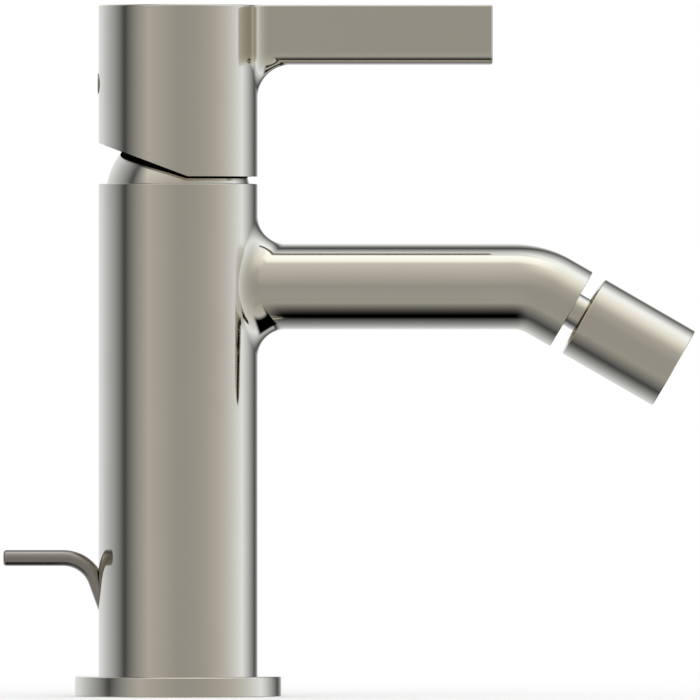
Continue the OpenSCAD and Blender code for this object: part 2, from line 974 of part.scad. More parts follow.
// The swivel joint at the spout's end
module spout_adapter() {
    color(brass)
        difference() {
            at_spout_end(adapter_in)
                cylinder(r = adapter_r, h = adapter_out - adapter_in);
            at_spout_end(adapter_in + adapter_lip)
                cylinder(r = stud_r, h = end_len);
            at_spout_end(0)
                cylinder(r = stud_r - 2, h = end_len);
            at_spout_end(adapter_in + 2.2)
                rotate_extrude()
                    translate([adapter_r - 1.05, -0.7])
                        square([2, 1.4]);
        }
}

module adapter_seal() {
    color(rubber)
        at_spout_end(adapter_in + 2.2)
            cord_ring(adapter_r - 0.48, 0.5);
}

module stud_seal() {
    color(rubber)
        at_spout_end(adapter_in + adapter_lip)
            ring(stud_r - fit, stud_r - 2, stud_seal_t);
}

module ball_stud() {
    foot = adapter_in + adapter_lip + stud_seal_t;
    color(metal)
        difference() {
            union() {
                at_spout_end(foot)
                    cylinder(r = stud_r - run, h = adapter_out - foot);
                at_spout_end(adapter_out - 1)
                    cylinder(d = neck_d, h = ball_s - adapter_out + 1);
                at_ball()
                    sphere(ball_r);
            }
            at_spout_end(0)
                cylinder(d = neck_bore_d, h = ball_s + ball_r + 1);
        }
}

// A slip ring is a zone of a spherical shell, so it turns freely on the ball and in the nozzle
module slip_ring(span) {
    color(polymer)
        at_ball()
            difference() {
                intersection() {
                    sphere(slip_out);
                    translate([0, 0, span[0]])
                        cylinder(r = slip_out * 2, h = span[1] - span[0]);
                }
                sphere(slip_in);
            }
}

module slip_ring_front() {
    slip_ring(front_ring);
}

module slip_ring_rear() {
    slip_ring(rear_ring);
}

module nozzle_housing() {
    edge = 0.25;
    color(metal)
        at_ball()
            difference() {
                rotate_extrude()
                    polygon([
                        [0, shoulder_w],
                        [retainer_r + 0.15, shoulder_w],
                        [nozzle_r - edge * 1.6, shoulder_w + edge],
                        [nozzle_r, shoulder_w + edge * 2.6],
                        [nozzle_r, nozzle_front],
                        [0, nozzle_front]
                    ]);
                translate([0, 0, nozzle_back - 1])
                    cylinder(r = retainer_r + run, h = retainer_end - nozzle_back + 1);
                sphere(pocket_r);
                cylinder(r = passage_r, h = outlet_w + 1);
                translate([0, 0, outlet_w])
                    cylinder(r = outlet_r_in, h = outlet_depth + 1);
            }
}

module ball_retainer() {
    color(metal)
        at_ball()
            difference() {
                translate([0, 0, nozzle_back])
                    cylinder(r = retainer_r, h = retainer_end - nozzle_back - fit);
                intersection() {
                    sphere(pocket_r);
                    translate([0, 0, lip_w])
                        cylinder(r = nozzle_d, h = nozzle_d);
                }
                translate([0, 0, nozzle_back - eps])
                    cylinder(r1 = mouth_w_r, r2 = lip_r, h = lip_w - nozzle_back + 2 * eps);
            }
}

// The aerator
module aerator_washer() {
    color(rubber)
        at_ball()
            translate([0, 0, outlet_w])
                ring(outlet_r_in - run, passage_r + 0.9, washer_t);
}

module aerator_shell() {
    color(metal_dark)
        at_ball()
            difference() {
                translate([0, 0, shell_z])
                    cylinder(r = shell_r, h = shell_end - shell_z);
                translate([0, 0, shell_z - 1])
                    cylinder(r = shell_r - shell_wall, h = shell_end - shell_z - lip_t + 1);
                translate([0, 0, shell_z])
                    cylinder(r = shell_r - shell_wall - 1, h = nozzle_len);
            }
}

module hole_rings(count, pitch, r, h) {
    cylinder(r = r, h = h);
    for (k = [1:count], i = [0:6 * k - 1])
        rotate([0, 0, 60 * i / k])
            translate([k * pitch, 0, 0])
                cylinder(r = r, h = h);
}

module aerator_screen() {
    color(steel)
        at_ball()
            translate([0, 0, shell_z])
                difference() {
                    cylinder(r = jet_r, h = screen_t);
                    translate([0, 0, -1])
                        hole_rings(2, 2.4, 0.7, screen_t + 2);
                }
}

module aerator_jet() {
    color(polymer)
        at_ball()
            translate([0, 0, shell_end - lip_t - jet_t])
                difference() {
                    cylinder(r = jet_r, h = jet_t);
                    translate([0, 0, -1])
                        hole_rings(3, 1.9, 0.65, jet_t + 2);
                }
}

// The lift rod and its guide
module lift_rod() {
    straight = rod_finger - rod_tip_round;
    color(metal_dark) {
        at_rod_bend()
            translate([0, 0, rod_bend_r])
                rotate([0, -90, 0])
                    rotate_extrude()
                        polygon([
                            [0, -bend_lap],
                            [rod_r, -bend_lap],
                            for (a = [0:15:90])
                                [
                                    rod_r - rod_tip_round * (1 - cos(a)),
                                    straight + rod_tip_round * sin(a)
                                ],
                            [0, rod_finger]
                        ]);
        at_rod_bend()
            bend_sector(rod_bend_r, rod_r, rod_angle);
        at_rod_exit(-bend_lap)
            cylinder(r = rod_r, h = rod_sunk + bend_lap);
    }
}

module rod_guide() {
    color(polymer)
        at_rod_exit(guide_in)
            ring(guide_r, rod_r + run, guide_len);
}

column_body();
base_ring();
base_gasket();
cartridge_base();
seat_seals();
disc_seals();
fixed_disc();
cartridge_housing();
cartridge_nut();
turn_limit_ring();
dome_cover();
dome_seal();
spout_adapter();
adapter_seal();
stud_seal();
ball_stud();
rod_guide();
rotor();
rotor_seal();
spindle_pin();
handle();
spindle();
handle_screw();
index_plug();
disc_carrier();
moving_disc();
slip_ring_front();
slip_ring_rear();
nozzle_housing();
ball_retainer();
aerator_shell();
aerator_washer();
aerator_screen();
aerator_jet();
lift_rod();
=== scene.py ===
import json
import math

import bpy
import numpy as np
from mathutils.geometry import tessellate_polygon
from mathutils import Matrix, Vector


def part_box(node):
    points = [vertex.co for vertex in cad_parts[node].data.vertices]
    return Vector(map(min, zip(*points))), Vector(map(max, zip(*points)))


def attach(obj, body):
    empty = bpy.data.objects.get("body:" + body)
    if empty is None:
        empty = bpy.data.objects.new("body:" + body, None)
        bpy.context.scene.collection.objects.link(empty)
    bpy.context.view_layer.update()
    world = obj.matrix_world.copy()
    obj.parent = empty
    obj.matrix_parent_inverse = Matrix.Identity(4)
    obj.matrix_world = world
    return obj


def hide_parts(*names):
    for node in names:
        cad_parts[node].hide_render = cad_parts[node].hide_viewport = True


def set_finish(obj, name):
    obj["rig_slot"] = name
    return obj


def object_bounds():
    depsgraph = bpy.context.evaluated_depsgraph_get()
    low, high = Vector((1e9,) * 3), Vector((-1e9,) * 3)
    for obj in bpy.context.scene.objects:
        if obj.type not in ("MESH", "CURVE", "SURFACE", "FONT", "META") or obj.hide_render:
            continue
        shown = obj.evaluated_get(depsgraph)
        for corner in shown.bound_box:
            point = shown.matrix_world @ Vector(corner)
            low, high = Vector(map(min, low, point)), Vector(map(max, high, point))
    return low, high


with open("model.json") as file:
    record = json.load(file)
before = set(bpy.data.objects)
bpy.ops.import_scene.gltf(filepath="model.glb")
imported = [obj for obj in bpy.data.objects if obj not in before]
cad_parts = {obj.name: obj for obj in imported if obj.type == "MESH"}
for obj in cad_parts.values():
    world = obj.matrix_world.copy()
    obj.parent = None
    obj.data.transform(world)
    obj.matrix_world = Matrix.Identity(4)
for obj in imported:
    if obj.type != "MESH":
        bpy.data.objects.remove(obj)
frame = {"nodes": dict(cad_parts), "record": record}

CAD_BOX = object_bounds()

# The object's lengths are millimetres and its angles degrees, until a mesh is made. The
# materials, the room and the camera are in metres.
MM = 0.001
WELD = 1.7320508e-7  # metres, the cell in which points are taken as one

COLUMN_R = 20.0
COLUMN_TOP = 128.7
COLUMN_BEVEL = 0.3
SPIGOT_R = 18.0
FOOT_EDGE = 0.3
BASE_R = 26.0
BASE_H = 5.0
BASE_BORE_R = 18.1
GASKET_R = 24.0
GASKET_DEPTH = 1.5
MOUTH_R = 18.0
MOUTH_FLOOR = 124.7
NUT_BORE_R = 17.0
NUT_SHELF = 118.0
CHAMBER_R = 14.1

# tapped holes in the foot: core radius, outer radius, pitch and depth
HOSE_AT, HOSE_THREAD = (3.0, 9.0), (4.46, 5.0, 1.0, 12.0)
STUD_AT, STUD_THREAD = (12.5, 0.0), (3.4, 4.0, 1.25, 14.0)

SPOUT_R = 10.75
SPOUT_BORE_R = 7.75
ADAPTER_BORE_R = 8.05
SPOUT_Z = 102.9
SPOUT_FILLET = 7.0
BEND_ANGLE = 30.0
BEND_R = 18.0
SOLID_BEND_R = 13.4  # of the CAD node: the wider bend starts and ends that much further out
EASED = (BEND_R - SOLID_BEND_R) * math.tan(math.radians(BEND_ANGLE / 2))
SPOUT_REACH = 85.4 - EASED
END_LEN = 7.8 - EASED
ADAPTER_LEN = 7.1
BALL_FROM_END = 11.5
BORE_START = -50.0  # the blind end of the bore, before the bend

NOZZLE_R = 10.75
NECK_R = 4.5
BALL_R = 7.0
POCKET_R = 8.05
RING_SEAT_R = 8.8

PIVOT_Z = 125.35
DOME_R = 18.2
DOME_SKIRT_R = 17.9
DOME_HOLE_R = 8.5
DOME_WALL = 1.4
DOME_STEP_R = 16.4
SEAL_GROOVE_R = 16.95
SEAL_GROOVE = (126.1, 127.3)

CAP_Z = 130.5
CAP_TOP = 173.6
CAP_SLOPE = 20.7
CUT_START = 2.5
SKIRT_BORE_R = 18.6
SKIRT_TOP = 149.55
CAP_BORE_R = 17.0
CAP_CEILING = 169.0
LEVER_REACH = 79.0
LEVER_R = 3.5
LEVER_AXIS_Z = 162.1
LEVER_SIDE_FILLET = 5.0
LEVER_UNDER_FILLET = 8.2
EDGE = 0.45

PLUG_R = 2.6

ROD_R = 2.0
ROD_Z = 34.7
ROD_BEND_R = 8.9
ROD_ANGLE = 70.0
ROD_EXIT_X = -20.54
ROD_TIP_X = -43.9
ROD_SUNK = 29.42
ROD_HOLE_R = ROD_R + 0.3
GUIDE_R = 2.95
GUIDE_DEPTH = 13.23

# windows in the column: half their angle, lowest and highest height
SPOUT_WINDOW = (50.0, SPOUT_Z - 22.0, SPOUT_Z + 22.0)
ROD_WINDOW = (12.5, 16.0, 38.0)

TURN = 144  # steps round the larger turned surfaces


def find(name):
    """The box of a CAD node in millimetres, lowest and highest corner."""
    low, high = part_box(name)
    return np.array(low) / MM, np.array(high) / MM


PEG_LENGTH = 2.0  # the pegs under the cartridge go that much deeper than the chamber
CHAMBER_FLOOR = float(find("cartridge_base")[0][2]) + PEG_LENGTH


def unit(v):
    """v divided by its own length, along the last axis."""
    v = np.asarray(v, float)
    return v / np.maximum(np.linalg.norm(v, axis=-1, keepdims=True), 1e-12)


def soft_step(t):
    """3t^2 - 2t^3 between 0 and 1, level outside."""
    t = np.clip(t, 0.0, 1.0)
    return t * t * (3 - 2 * t)


class Shell:
    """One closed surface built from patches. Every patch brings its own normals, each
    triangle is turned to face the way they point, and equal points are welded at the end."""

    def __init__(self):
        self.corners = []
        self.normals = []

    def triangles(self, corners, normals):
        """Corners and normals are (n, 3, 3) arrays."""
        corners = np.array(corners, float)
        normals = np.array(np.broadcast_to(normals, corners.shape), float)
        side = np.cross(corners[:, 1] - corners[:, 0], corners[:, 2] - corners[:, 0])
        back = np.einsum("ij,ij->i", side, normals.sum(axis=1)) < 0
        corners[back] = corners[back][:, ::-1]
        normals[back] = normals[back][:, ::-1]
        self.corners.append(corners)
        self.normals.append(normals)

    def grid(self, points, normals, keep=None):
        """A (rows, columns, 3) array of points becomes two triangles a cell; keep is an
        optional (rows - 1, columns - 1) mask of the cells that stay."""
        points = np.asarray(points, float)
        normals = np.broadcast_to(normals, points.shape)
        mask = np.ones((points.shape[0] - 1, points.shape[1] - 1), bool) if keep is None else keep
        both = np.concatenate([points, normals], axis=-1)
        a = both[:-1, :-1][mask]
        b = both[:-1, 1:][mask]
        c = both[1:, 1:][mask]
        d = both[1:, :-1][mask]
        cells = np.concatenate([np.stack([a, b, c], axis=1), np.stack([a, c, d], axis=1)])
        self.triangles(cells[..., :3], cells[..., 3:])

    def flat(self, loops, normal):
        """A plane face whose first loop is its outline and whose others are holes."""
        normal = unit(normal)
        u = unit(np.cross(normal, [0.0, 1.0, 0.0] if abs(normal[1]) < 0.9 else [1.0, 0.0, 0.0]))
        v = np.cross(normal, u)
        plane = [[(p @ u, p @ v, 0.0) for p in loop] for loop in loops]
        cut = np.array(tessellate_polygon(plane))
        self.triangles(np.concatenate(loops)[cut], normal)

    def piece(self, name, body, nodes, slot):
        """Welds the patches into a mesh in metres, hides the CAD nodes it replaces, gives it
        its slot and hangs it under its body.
        """
        corners = np.concatenate(self.corners).reshape(-1, 3) * MM
        normals = unit(np.concatenate(self.normals))
        cells = np.round(corners / WELD).astype(np.int64)
        _, first, index = np.unique(cells, axis=0, return_index=True, return_inverse=True)
        index = index.reshape(-1, 3)
        whole = (index != np.roll(index, 1, axis=1)).all(axis=1)
        index, normals = index[whole], normals[whole].reshape(-1, 3)
        mesh = bpy.data.meshes.new(name)
        mesh.vertices.add(len(first))
        mesh.vertices.foreach_set("co", corners[first].ravel())
        mesh.loops.add(index.size)
        mesh.loops.foreach_set("vertex_index", index.ravel())
        mesh.polygons.add(len(index))
        mesh.polygons.foreach_set("loop_start", np.arange(0, index.size, 3))
        mesh.polygons.foreach_set("use_smooth", np.ones(len(index), bool))
        mesh.update(calc_edges=True)
        mesh.normals_split_custom_set(normals)
        obj = bpy.data.objects.new(name, mesh)
        bpy.context.scene.collection.objects.link(obj)
        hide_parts(*nodes)
        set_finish(obj, slot)
        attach(obj, body)
        return obj


def run(start, end, steps=1):
    """A straight run of a profile in (radius, height), the solid on its left."""
    start, end = np.array(start, float), np.array(end, float)
    t = np.linspace(0, 1, steps + 1)[:, None]
    d = unit(end - start)
    points = start + (end - start) * t
    return points, np.broadcast_to([d[1], -d[0]], points.shape)


def path(*corners):
    """Straight runs from corner to corner."""
    return [run(a, b) for a, b in zip(corners, corners[1:])]


def arc(centre, r, start, end, steps=8):
    """An arc of a profile from one angle to another; growing angles bulge outwards."""
    a = np.radians(np.linspace(start, end, steps + 1))[:, None]
    out = np.concatenate([np.cos(a), np.sin(a)], axis=1)
    return np.array(centre) + r * out, out * np.sign(end - start)


def shoulder(start, rim, edge, lean, steps):
    """A face that leans by some degrees, then its rounding: the run touches the arc of radius
    edge round rim, and the arc ends facing straight out."""
    turning = math.radians(lean)
    touch = (rim[0] + edge * math.sin(turning), rim[1] - edge * math.cos(turning))
    return [run(start, touch), arc(rim, edge, lean - 90, 0, steps)]


def rounded(corners):
    """A profile of straight runs whose corners (radius, height, rounding) are turned by
    arcs that touch both of their neighbours."""
    corners = [tuple(c) + (0,) * (3 - len(c)) for c in corners]
    n = len(corners)
    ends, turns = [], []
    for i, (r, h, fillet) in enumerate(corners):
        here = np.array([r, h], float)
        before = unit(here - np.array(corners[i - 1][:2], float))
        after = unit(np.array(corners[(i + 1) % n][:2], float) - here)
        bend = math.atan2(before[0] * after[1] - before[1] * after[0], float(before @ after))
        if fillet == 0 or abs(bend) < 1e-6:
            ends.append((here, here))
            turns.append(None)
            continue
        reach = fillet * math.tan(abs(bend) / 2)
        side = np.array([-before[1], before[0]]) * math.copysign(1, bend)
        centre = here - before * reach + side * fillet
        start = math.degrees(math.atan2(-side[1], -side[0]))
        ends.append((here - before * reach, here + after * reach))
        turns.append(arc(centre, fillet, start, start + math.degrees(bend), 6))
    runs = []
    for i in range(n):
        if turns[i] is not None:
            runs.append(turns[i])
        a, b = ends[i][1], ends[(i + 1) % n][0]
        if np.linalg.norm(b - a) > 1e-6:
            runs.append(run(a, b))
    return runs


def turned(shell, runs, origin=(0, 0, 0), axis=(0, 0, 1), steps=96):
    """Turns a profile about an axis through the origin: centre plus radius times the
    turning direction plus height times the axis."""
    w = unit(axis)
    v = np.array([0.0, 1.0, 0.0])
    u = np.cross(v, w)
    a = np.radians(np.linspace(0, 360, steps + 1))
    out = np.cos(a)[:, None] * u + np.sin(a)[:, None] * v
    for points, normals in runs:
        place = np.array(origin) + points[:, None, :1] * out + points[:, None, 1:] * w
        facing = normals[:, None, :1] * out + normals[:, None, 1:] * w
        shell.grid(place, facing)


def slopes(surface, u, v, step=1e-4):
    """The normals of a surface of two parameters: the cross product of a small step along
    each of them."""
    along = surface(u + step, v) - surface(u - step, v)
    across = surface(u, v + step) - surface(u, v - step)
    return unit(np.cross(along, across))


def column_at(theta, z):
    """Points and normals of the upright cylinder of the column at angles and heights."""
    theta, z = np.broadcast_arrays(np.radians(theta), z)
    out = np.stack([np.cos(theta), np.sin(theta), np.zeros_like(theta)], axis=-1)
    place = out * COLUMN_R
    place[..., 2] = z
    return place, out


def saddle(psi, share, fillet, tube_r, axis_z):
    """The fillet between the column and a round bar along +X. In the plane through the
    bar's axis at angle psi the column's section is an ellipse, (R cos t, R sin t / c) with
    c the cosine of psi, and the fillet is the arc that touches it and the bar's side. t is
    found by halving, and share runs along the arc from the column (0) to the bar (1)."""
    c = np.maximum(np.abs(np.cos(psi)), 1e-6)
    low, high = np.zeros_like(c), np.full_like(c, math.pi / 2)
    for _ in range(56):
        t = (low + high) / 2
        reach = COLUMN_R / c * np.sin(t) + fillet * c * np.sin(t) / np.hypot(np.cos(t), c * np.sin(t))
        over = reach > tube_r + fillet
        high, low = np.where(over, t, high), np.where(over, low, t)
    n = unit(np.stack([np.cos(t), c * np.sin(t)], axis=-1))
    start = math.pi + np.arctan2(n[..., 1], n[..., 0])
    b = start + (1.5 * math.pi - start) * share
    x = COLUMN_R * np.cos(t) + fillet * (n[..., 0] + np.cos(b))
    rho = tube_r + fillet + fillet * np.sin(b)
    return np.stack([x, rho * np.cos(psi), axis_z + rho * np.sin(psi)], axis=-1)


def saddle_patch(psi, rows, fillet, tube_r, axis_z):
    """Rows of the fillet from the column to the bar, with exact normals on both rims."""
    share, angle = np.meshgrid(np.linspace(0, 1, rows + 1), psi, indexing="ij")
    spread = np.broadcast_to(fillet(angle), angle.shape)
    place = saddle(angle, share, spread, tube_r, axis_z)
    facing = slopes(lambda p, s: saddle(p, s, fillet(p), tube_r, axis_z), angle, share)
    facing *= np.sign(np.einsum("ijk,ijk->ij", facing, place * [1, 1, 0]))[..., None]
    facing[0] = unit(place[0] * [1, 1, 0])
    facing[-1] = np.stack([0 * psi, np.cos(psi), np.sin(psi)], axis=-1)
    return place, facing


def window_loop(window, middle, heights):
    """The straight edges of a window in the column, as one closed loop of angles and heights
    whose steps are those of the column's own grid."""
    left, right = middle - window[0], middle + window[0]
    columns = round(2 * window[0] * TURN / 360)
    angles = np.linspace(left, right, columns + 1)
    theta = np.concatenate([
        angles[:-1], np.full(len(heights) - 1, right),
        angles[:0:-1], np.full(len(heights) - 1, left), [left],
    ])
    level = np.concatenate([
        np.full(columns, heights[0]), heights[:-1],
        np.full(columns, heights[-1]), heights[:0:-1], [heights[0]],
    ])
    return theta, level


def frame_patch(shell, theta, level, middle, rim):
    """The part of the column between a window's loop and a rim on the same cylinder, joined by
    straight lines in angle and height. The rim's angles are taken from the window's middle,
    in front (0) or behind (180), so that none of them jumps by a full turn."""
    way = math.cos(math.radians(middle))
    goal = np.degrees(np.arctan2(way * rim[:, 1], way * rim[:, 0])) + middle
    t = np.linspace(0, 1, 13)[:, None]
    shell.grid(*column_at(theta * (1 - t) + goal * t, level * (1 - t) + rim[:, 2] * t))


def bent_tube(rows, psi):
    """Rows of the spout. Each row gives the distance past the bend's start along the middle
    line, a radius, and how much its normal leans along the line and away from it."""
    s, r, lean, out = [np.array(col, float)[:, None, None] for col in zip(*rows)]
    a = np.clip(s / BEND_R, 0, math.radians(BEND_ANGLE))
    ahead = np.where(s < 0, s, np.maximum(s - BEND_R * math.radians(BEND_ANGLE), 0))
    zero = np.zeros_like(a)
    along = np.concatenate([np.cos(a), zero, -np.sin(a)], axis=-1)
    up = np.concatenate([np.sin(a), zero, np.cos(a)], axis=-1)
    middle = np.array([SPOUT_REACH, 0, SPOUT_Z - BEND_R]) + BEND_R * up + ahead * along
    radial = np.cos(psi)[:, None] * np.array([0, 1, 0]) + np.sin(psi)[:, None] * up
    return middle + r * radial, lean * along + out * radial


def rod_line():
    """The middle line of the lift rod's slanted hole: the point where the rod leaves the
    column, and the direction down into it."""
    a = math.radians(ROD_ANGLE)
    start = np.array([ROD_EXIT_X, 0, ROD_Z - ROD_BEND_R * (1 - math.cos(a))])
    return start, np.array([math.cos(a), 0, -math.sin(a)])


def rod_hole(phi, r, level=None):
    """A line at radius r and angle phi round the rod's axis, cut by the column's side, or by
    the level plane at that height where one is given."""
    start, along = rod_line()
    up = np.array([-along[2], 0, along[0]])
    line = start + r * (np.cos(phi)[..., None] * up + np.sin(phi)[..., None] * np.array([0, 1, 0]))
    if level is None:
        s = (-np.sqrt(COLUMN_R**2 - line[..., 1] ** 2) - line[..., 0]) / along[0]
    else:
        s = (level - line[..., 2]) / along[2]
    return line + s[..., None] * along, line


def threaded_bore(shell, centre, minor, major, pitch, depth):
    """A tapped hole from below. The radius runs between minor and major as a triangle wave
    of height over pitch less the turn, a cone opens the mouth, and the drill's point ends it."""
    phi = np.radians(np.linspace(0, 360, 49))
    z = np.linspace(0, depth, int(depth / pitch * 10) + 1)
    angle, height = np.meshgrid(phi, z)

    def wall(a, h):
        wave = np.abs(2 * ((h / pitch - a / (2 * math.pi)) % 1) - 1)
        r = minor + (major - minor) * np.clip(wave * 1.3 - 0.1, 0, 1) * soft_step((depth - h) / pitch)
        r = np.maximum(r, major + 0.15 - h)
        return np.stack([centre[0] + r * np.cos(a), centre[1] + r * np.sin(a), h], axis=-1)

    place = wall(angle, height)
    facing = slopes(wall, angle, np.clip(height, 0.01, depth - 0.01))
    inward = np.array([centre[0], centre[1], 0]) - place * [1, 1, 0]
    facing *= np.sign(np.einsum("ijk,ijk->ij", facing, inward))[..., None]
    shell.grid(place, facing)
    drill = np.array([centre[0], centre[1], depth + minor * 0.35])
    shell.grid(np.stack([place[-1], np.broadcast_to(drill, place[-1].shape)]), np.array([0.0, 0, -1.0]))
    return place[0][:-1]


def column_side(shell):
    """The column's outside, rows of heights by steps of angle, less a window in front for the
    spout and one behind for the lift rod. It gives the heights of each window back."""
    spout_levels = np.linspace(*SPOUT_WINDOW[1:], 45)
    rod_levels = np.linspace(*ROD_WINDOW[1:], 17)
    levels = np.concatenate([
        np.linspace(BASE_H, rod_levels[0], 9)[:-1], rod_levels[:-1],
        np.linspace(rod_levels[-1], spout_levels[0], 25)[:-1], spout_levels[:-1],
        np.linspace(spout_levels[-1], COLUMN_TOP - COLUMN_BEVEL, 5),
    ])
    theta = np.linspace(0, 360, TURN + 1)
    middle_theta = (theta[:-1] + theta[1:]) / 2
    middle_level = ((levels[:-1] + levels[1:]) / 2)[:, None]
    window = np.zeros((len(levels) - 1, TURN), bool)
    for middle, (half, low, high) in ((0, SPOUT_WINDOW), (180, ROD_WINDOW)):
        off = np.abs((middle_theta - middle + 180) % 360 - 180)
        window |= (off < half) & (middle_level > low) & (middle_level < high)
    shell.grid(*column_at(theta[None, :], levels[:, None]), ~window)
    return spout_levels, rod_levels


def spout_fillet(psi):
    """The root's radius, the same all round."""
    return np.full_like(psi, SPOUT_FILLET)


def spout_tube(shell, levels):
    """The spout, round the same angles psi all the way: saddle, straight tube, bend and end,
    then back inside: the end's bore, the seat behind the ball joint, and the narrower bore."""
    theta, level = window_loop(SPOUT_WINDOW, 0, levels)
    psi = np.arctan2(level - SPOUT_Z, COLUMN_R * np.sin(np.radians(theta)))
    frame_patch(shell, theta, level, 0, saddle(psi, np.zeros_like(psi), SPOUT_FILLET, SPOUT_R, SPOUT_Z))
    root, facing = saddle_patch(psi, 18, spout_fillet, SPOUT_R, SPOUT_Z)
    shell.grid(root, facing)
    outward, inward, ahead = (0, 1), (0, -1), (1, 0)
    share = np.linspace(0, 1, 9)[:, None, None]
    start_of_bend = bent_tube([(0, SPOUT_R, *outward)], psi)[0]
    shell.grid(root[-1] * (1 - share) + start_of_bend * share, facing[-1])
    bend = BEND_R * math.radians(BEND_ANGLE)
    end = bend + END_LEN
    seat = end - ADAPTER_LEN
    edge, half_edge = 0.2, 0.06
    bent = [bend * i / 14 for i in range(15)]
    bore = [seat] + [bend * i / 8 for i in range(7, -1, -1)] + [BORE_START]
    for rows in (
        [(s, SPOUT_R, *outward) for s in bent + [end - edge]],
        [(end - edge, SPOUT_R, *outward), (end - half_edge, SPOUT_R - half_edge, 0.7, 0.7),
         (end, SPOUT_R - edge, *ahead)],
        [(end, r, *ahead) for r in (SPOUT_R - edge, ADAPTER_BORE_R)],
        [(s, ADAPTER_BORE_R, *inward) for s in (end, bend, seat)],
        [(seat, r, *ahead) for r in (ADAPTER_BORE_R, SPOUT_BORE_R)],
        [(s, SPOUT_BORE_R, *inward) for s in bore],
        [(BORE_START, r, *ahead) for r in (SPOUT_BORE_R, 0)],
    ):
        shell.grid(*bent_tube(rows, psi))


def rod_channel(shell, levels):
    """The slanted hole for the lift rod: as wide as the rod from the column's back, then, past
    a step, as wide as its guide down to the foot. It gives its outline in the foot back."""
    half_width, half_height = 4.33, (levels[-1] - levels[0]) / 2
    theta, level = window_loop(ROD_WINDOW, 180, levels)
    sideways = np.sin(np.radians(theta - 180)) * -COLUMN_R / half_width
    phi = np.arctan2(sideways, (level - (levels[0] + levels[-1]) / 2) / half_height)
    rim, line = rod_hole(phi, ROD_HOLE_R)
    frame_patch(shell, theta, level, 180, rim)
    start, along = rod_line()
    inward = unit(start - line)
    wide, wide_line = rod_hole(phi, GUIDE_R, 0.0)
    seat, step = line + GUIDE_DEPTH * along, wide_line + GUIDE_DEPTH * along
    shell.grid(np.stack([rim, seat]), inward)
    shell.grid(np.stack([seat, step]), along)
    shell.grid(np.stack([step, wide]), inward)
    return wide[:-1]


def mixer_column():
    """The cast body: the column with the spout grown out of its front through a saddle
    fillet, the slanted rod hole in its back, its open mouth, and the tapped holes below."""
    shell = Shell()
    spout_levels, rod_levels = column_side(shell)
    spout_tube(shell, spout_levels)
    rod_outline = rod_channel(shell, rod_levels)
    bevel = (COLUMN_R - COLUMN_BEVEL, COLUMN_TOP - COLUMN_BEVEL)
    mouth = path(
        (bevel[0], COLUMN_TOP), (MOUTH_R, COLUMN_TOP), (MOUTH_R, MOUTH_FLOOR),
        (NUT_BORE_R, MOUTH_FLOOR), (NUT_BORE_R, NUT_SHELF), (CHAMBER_R, NUT_SHELF),
        (CHAMBER_R, CHAMBER_FLOOR), (0, CHAMBER_FLOOR),
    )
    turned(shell, [arc(bevel, COLUMN_BEVEL, 0, 90, 5)] + mouth, steps=TURN)
    foot_r = SPIGOT_R - FOOT_EDGE
    foot = path((foot_r, 0), (SPIGOT_R, FOOT_EDGE), (SPIGOT_R, BASE_H), (COLUMN_R, BASE_H))
    turned(shell, foot, steps=TURN)
    a = np.radians(np.linspace(0, 360, TURN + 1)[:-1])
    outline = np.stack([np.cos(a), np.sin(a), 0 * a], axis=-1) * foot_r
    holes = [
        threaded_bore(shell, HOSE_AT, *HOSE_THREAD),
        threaded_bore(shell, (HOSE_AT[0], -HOSE_AT[1]), *HOSE_THREAD),
        threaded_bore(shell, STUD_AT, *STUD_THREAD),
        rod_outline,
    ]
    shell.flat([outline] + holes, (0, 0, -1))
    return shell.piece("mixer_column", "mixer_body", ["column_body"], "satin_metal")


def base_flange():
    """The loose ring under the column, with the gasket's groove below. Its side leans in a
    little towards the top."""
    shell = Shell()
    top_r = BASE_R - 0.06
    turned(shell, rounded([
        (BASE_BORE_R, 0, 0.2), (COLUMN_R, 0), (COLUMN_R, GASKET_DEPTH), (GASKET_R, GASKET_DEPTH),
        (GASKET_R, 0), (BASE_R, 0, 0.15), (top_r, BASE_H, 0.4), (BASE_BORE_R, BASE_H, 0.1),
    ]), steps=TURN)
    return shell.piece("base_flange", "mixer_body", ["base_ring"], "satin_metal")


def dome_shroud():
    """The domed cover: a sphere round the lever's pivot with a straight skirt, a groove for
    its seal and a round opening on top."""
    shell = Shell()
    inner_r = DOME_R - DOME_WALL
    skirt_low = MOUTH_FLOOR + 0.1
    groove_low, groove_high = SEAL_GROOVE
    start = math.degrees(math.acos(DOME_SKIRT_R / DOME_R))
    stop = math.degrees(math.acos(DOME_HOLE_R / DOME_R))
    inner_stop = math.degrees(math.acos(DOME_HOLE_R / inner_r))
    top = PIVOT_Z + DOME_R * math.sin(math.radians(start))
    crown = PIVOT_Z + DOME_R * math.sin(math.radians(stop))
    under = PIVOT_Z + inner_r * math.sin(math.radians(inner_stop))
    skirt = path(
        (DOME_STEP_R, skirt_low), (DOME_SKIRT_R, skirt_low), (DOME_SKIRT_R, groove_low),
        (SEAL_GROOVE_R, groove_low), (SEAL_GROOVE_R, groove_high), (DOME_SKIRT_R, groove_high),
        (DOME_SKIRT_R, top),
    )
    turned(shell, skirt + [
        arc((0, PIVOT_Z), DOME_R, start, stop, 32),
        run((DOME_HOLE_R, crown), (DOME_HOLE_R, under)),
        arc((0, PIVOT_Z), inner_r, inner_stop, 0, 24),
    ] + path((inner_r, PIVOT_Z), (DOME_STEP_R, PIVOT_Z), (DOME_STEP_R, skirt_low)), steps=TURN)
    return shell.piece("dome_shroud", "mixer_body", ["dome_cover"], "satin_metal")


def lever_fillet(psi):
    """The root's radius: the side fillet level with the bar's axis, growing to the larger
    one straight below it."""
    return LEVER_SIDE_FILLET + (LEVER_UNDER_FILLET - LEVER_SIDE_FILLET) * np.sin(psi) ** 2


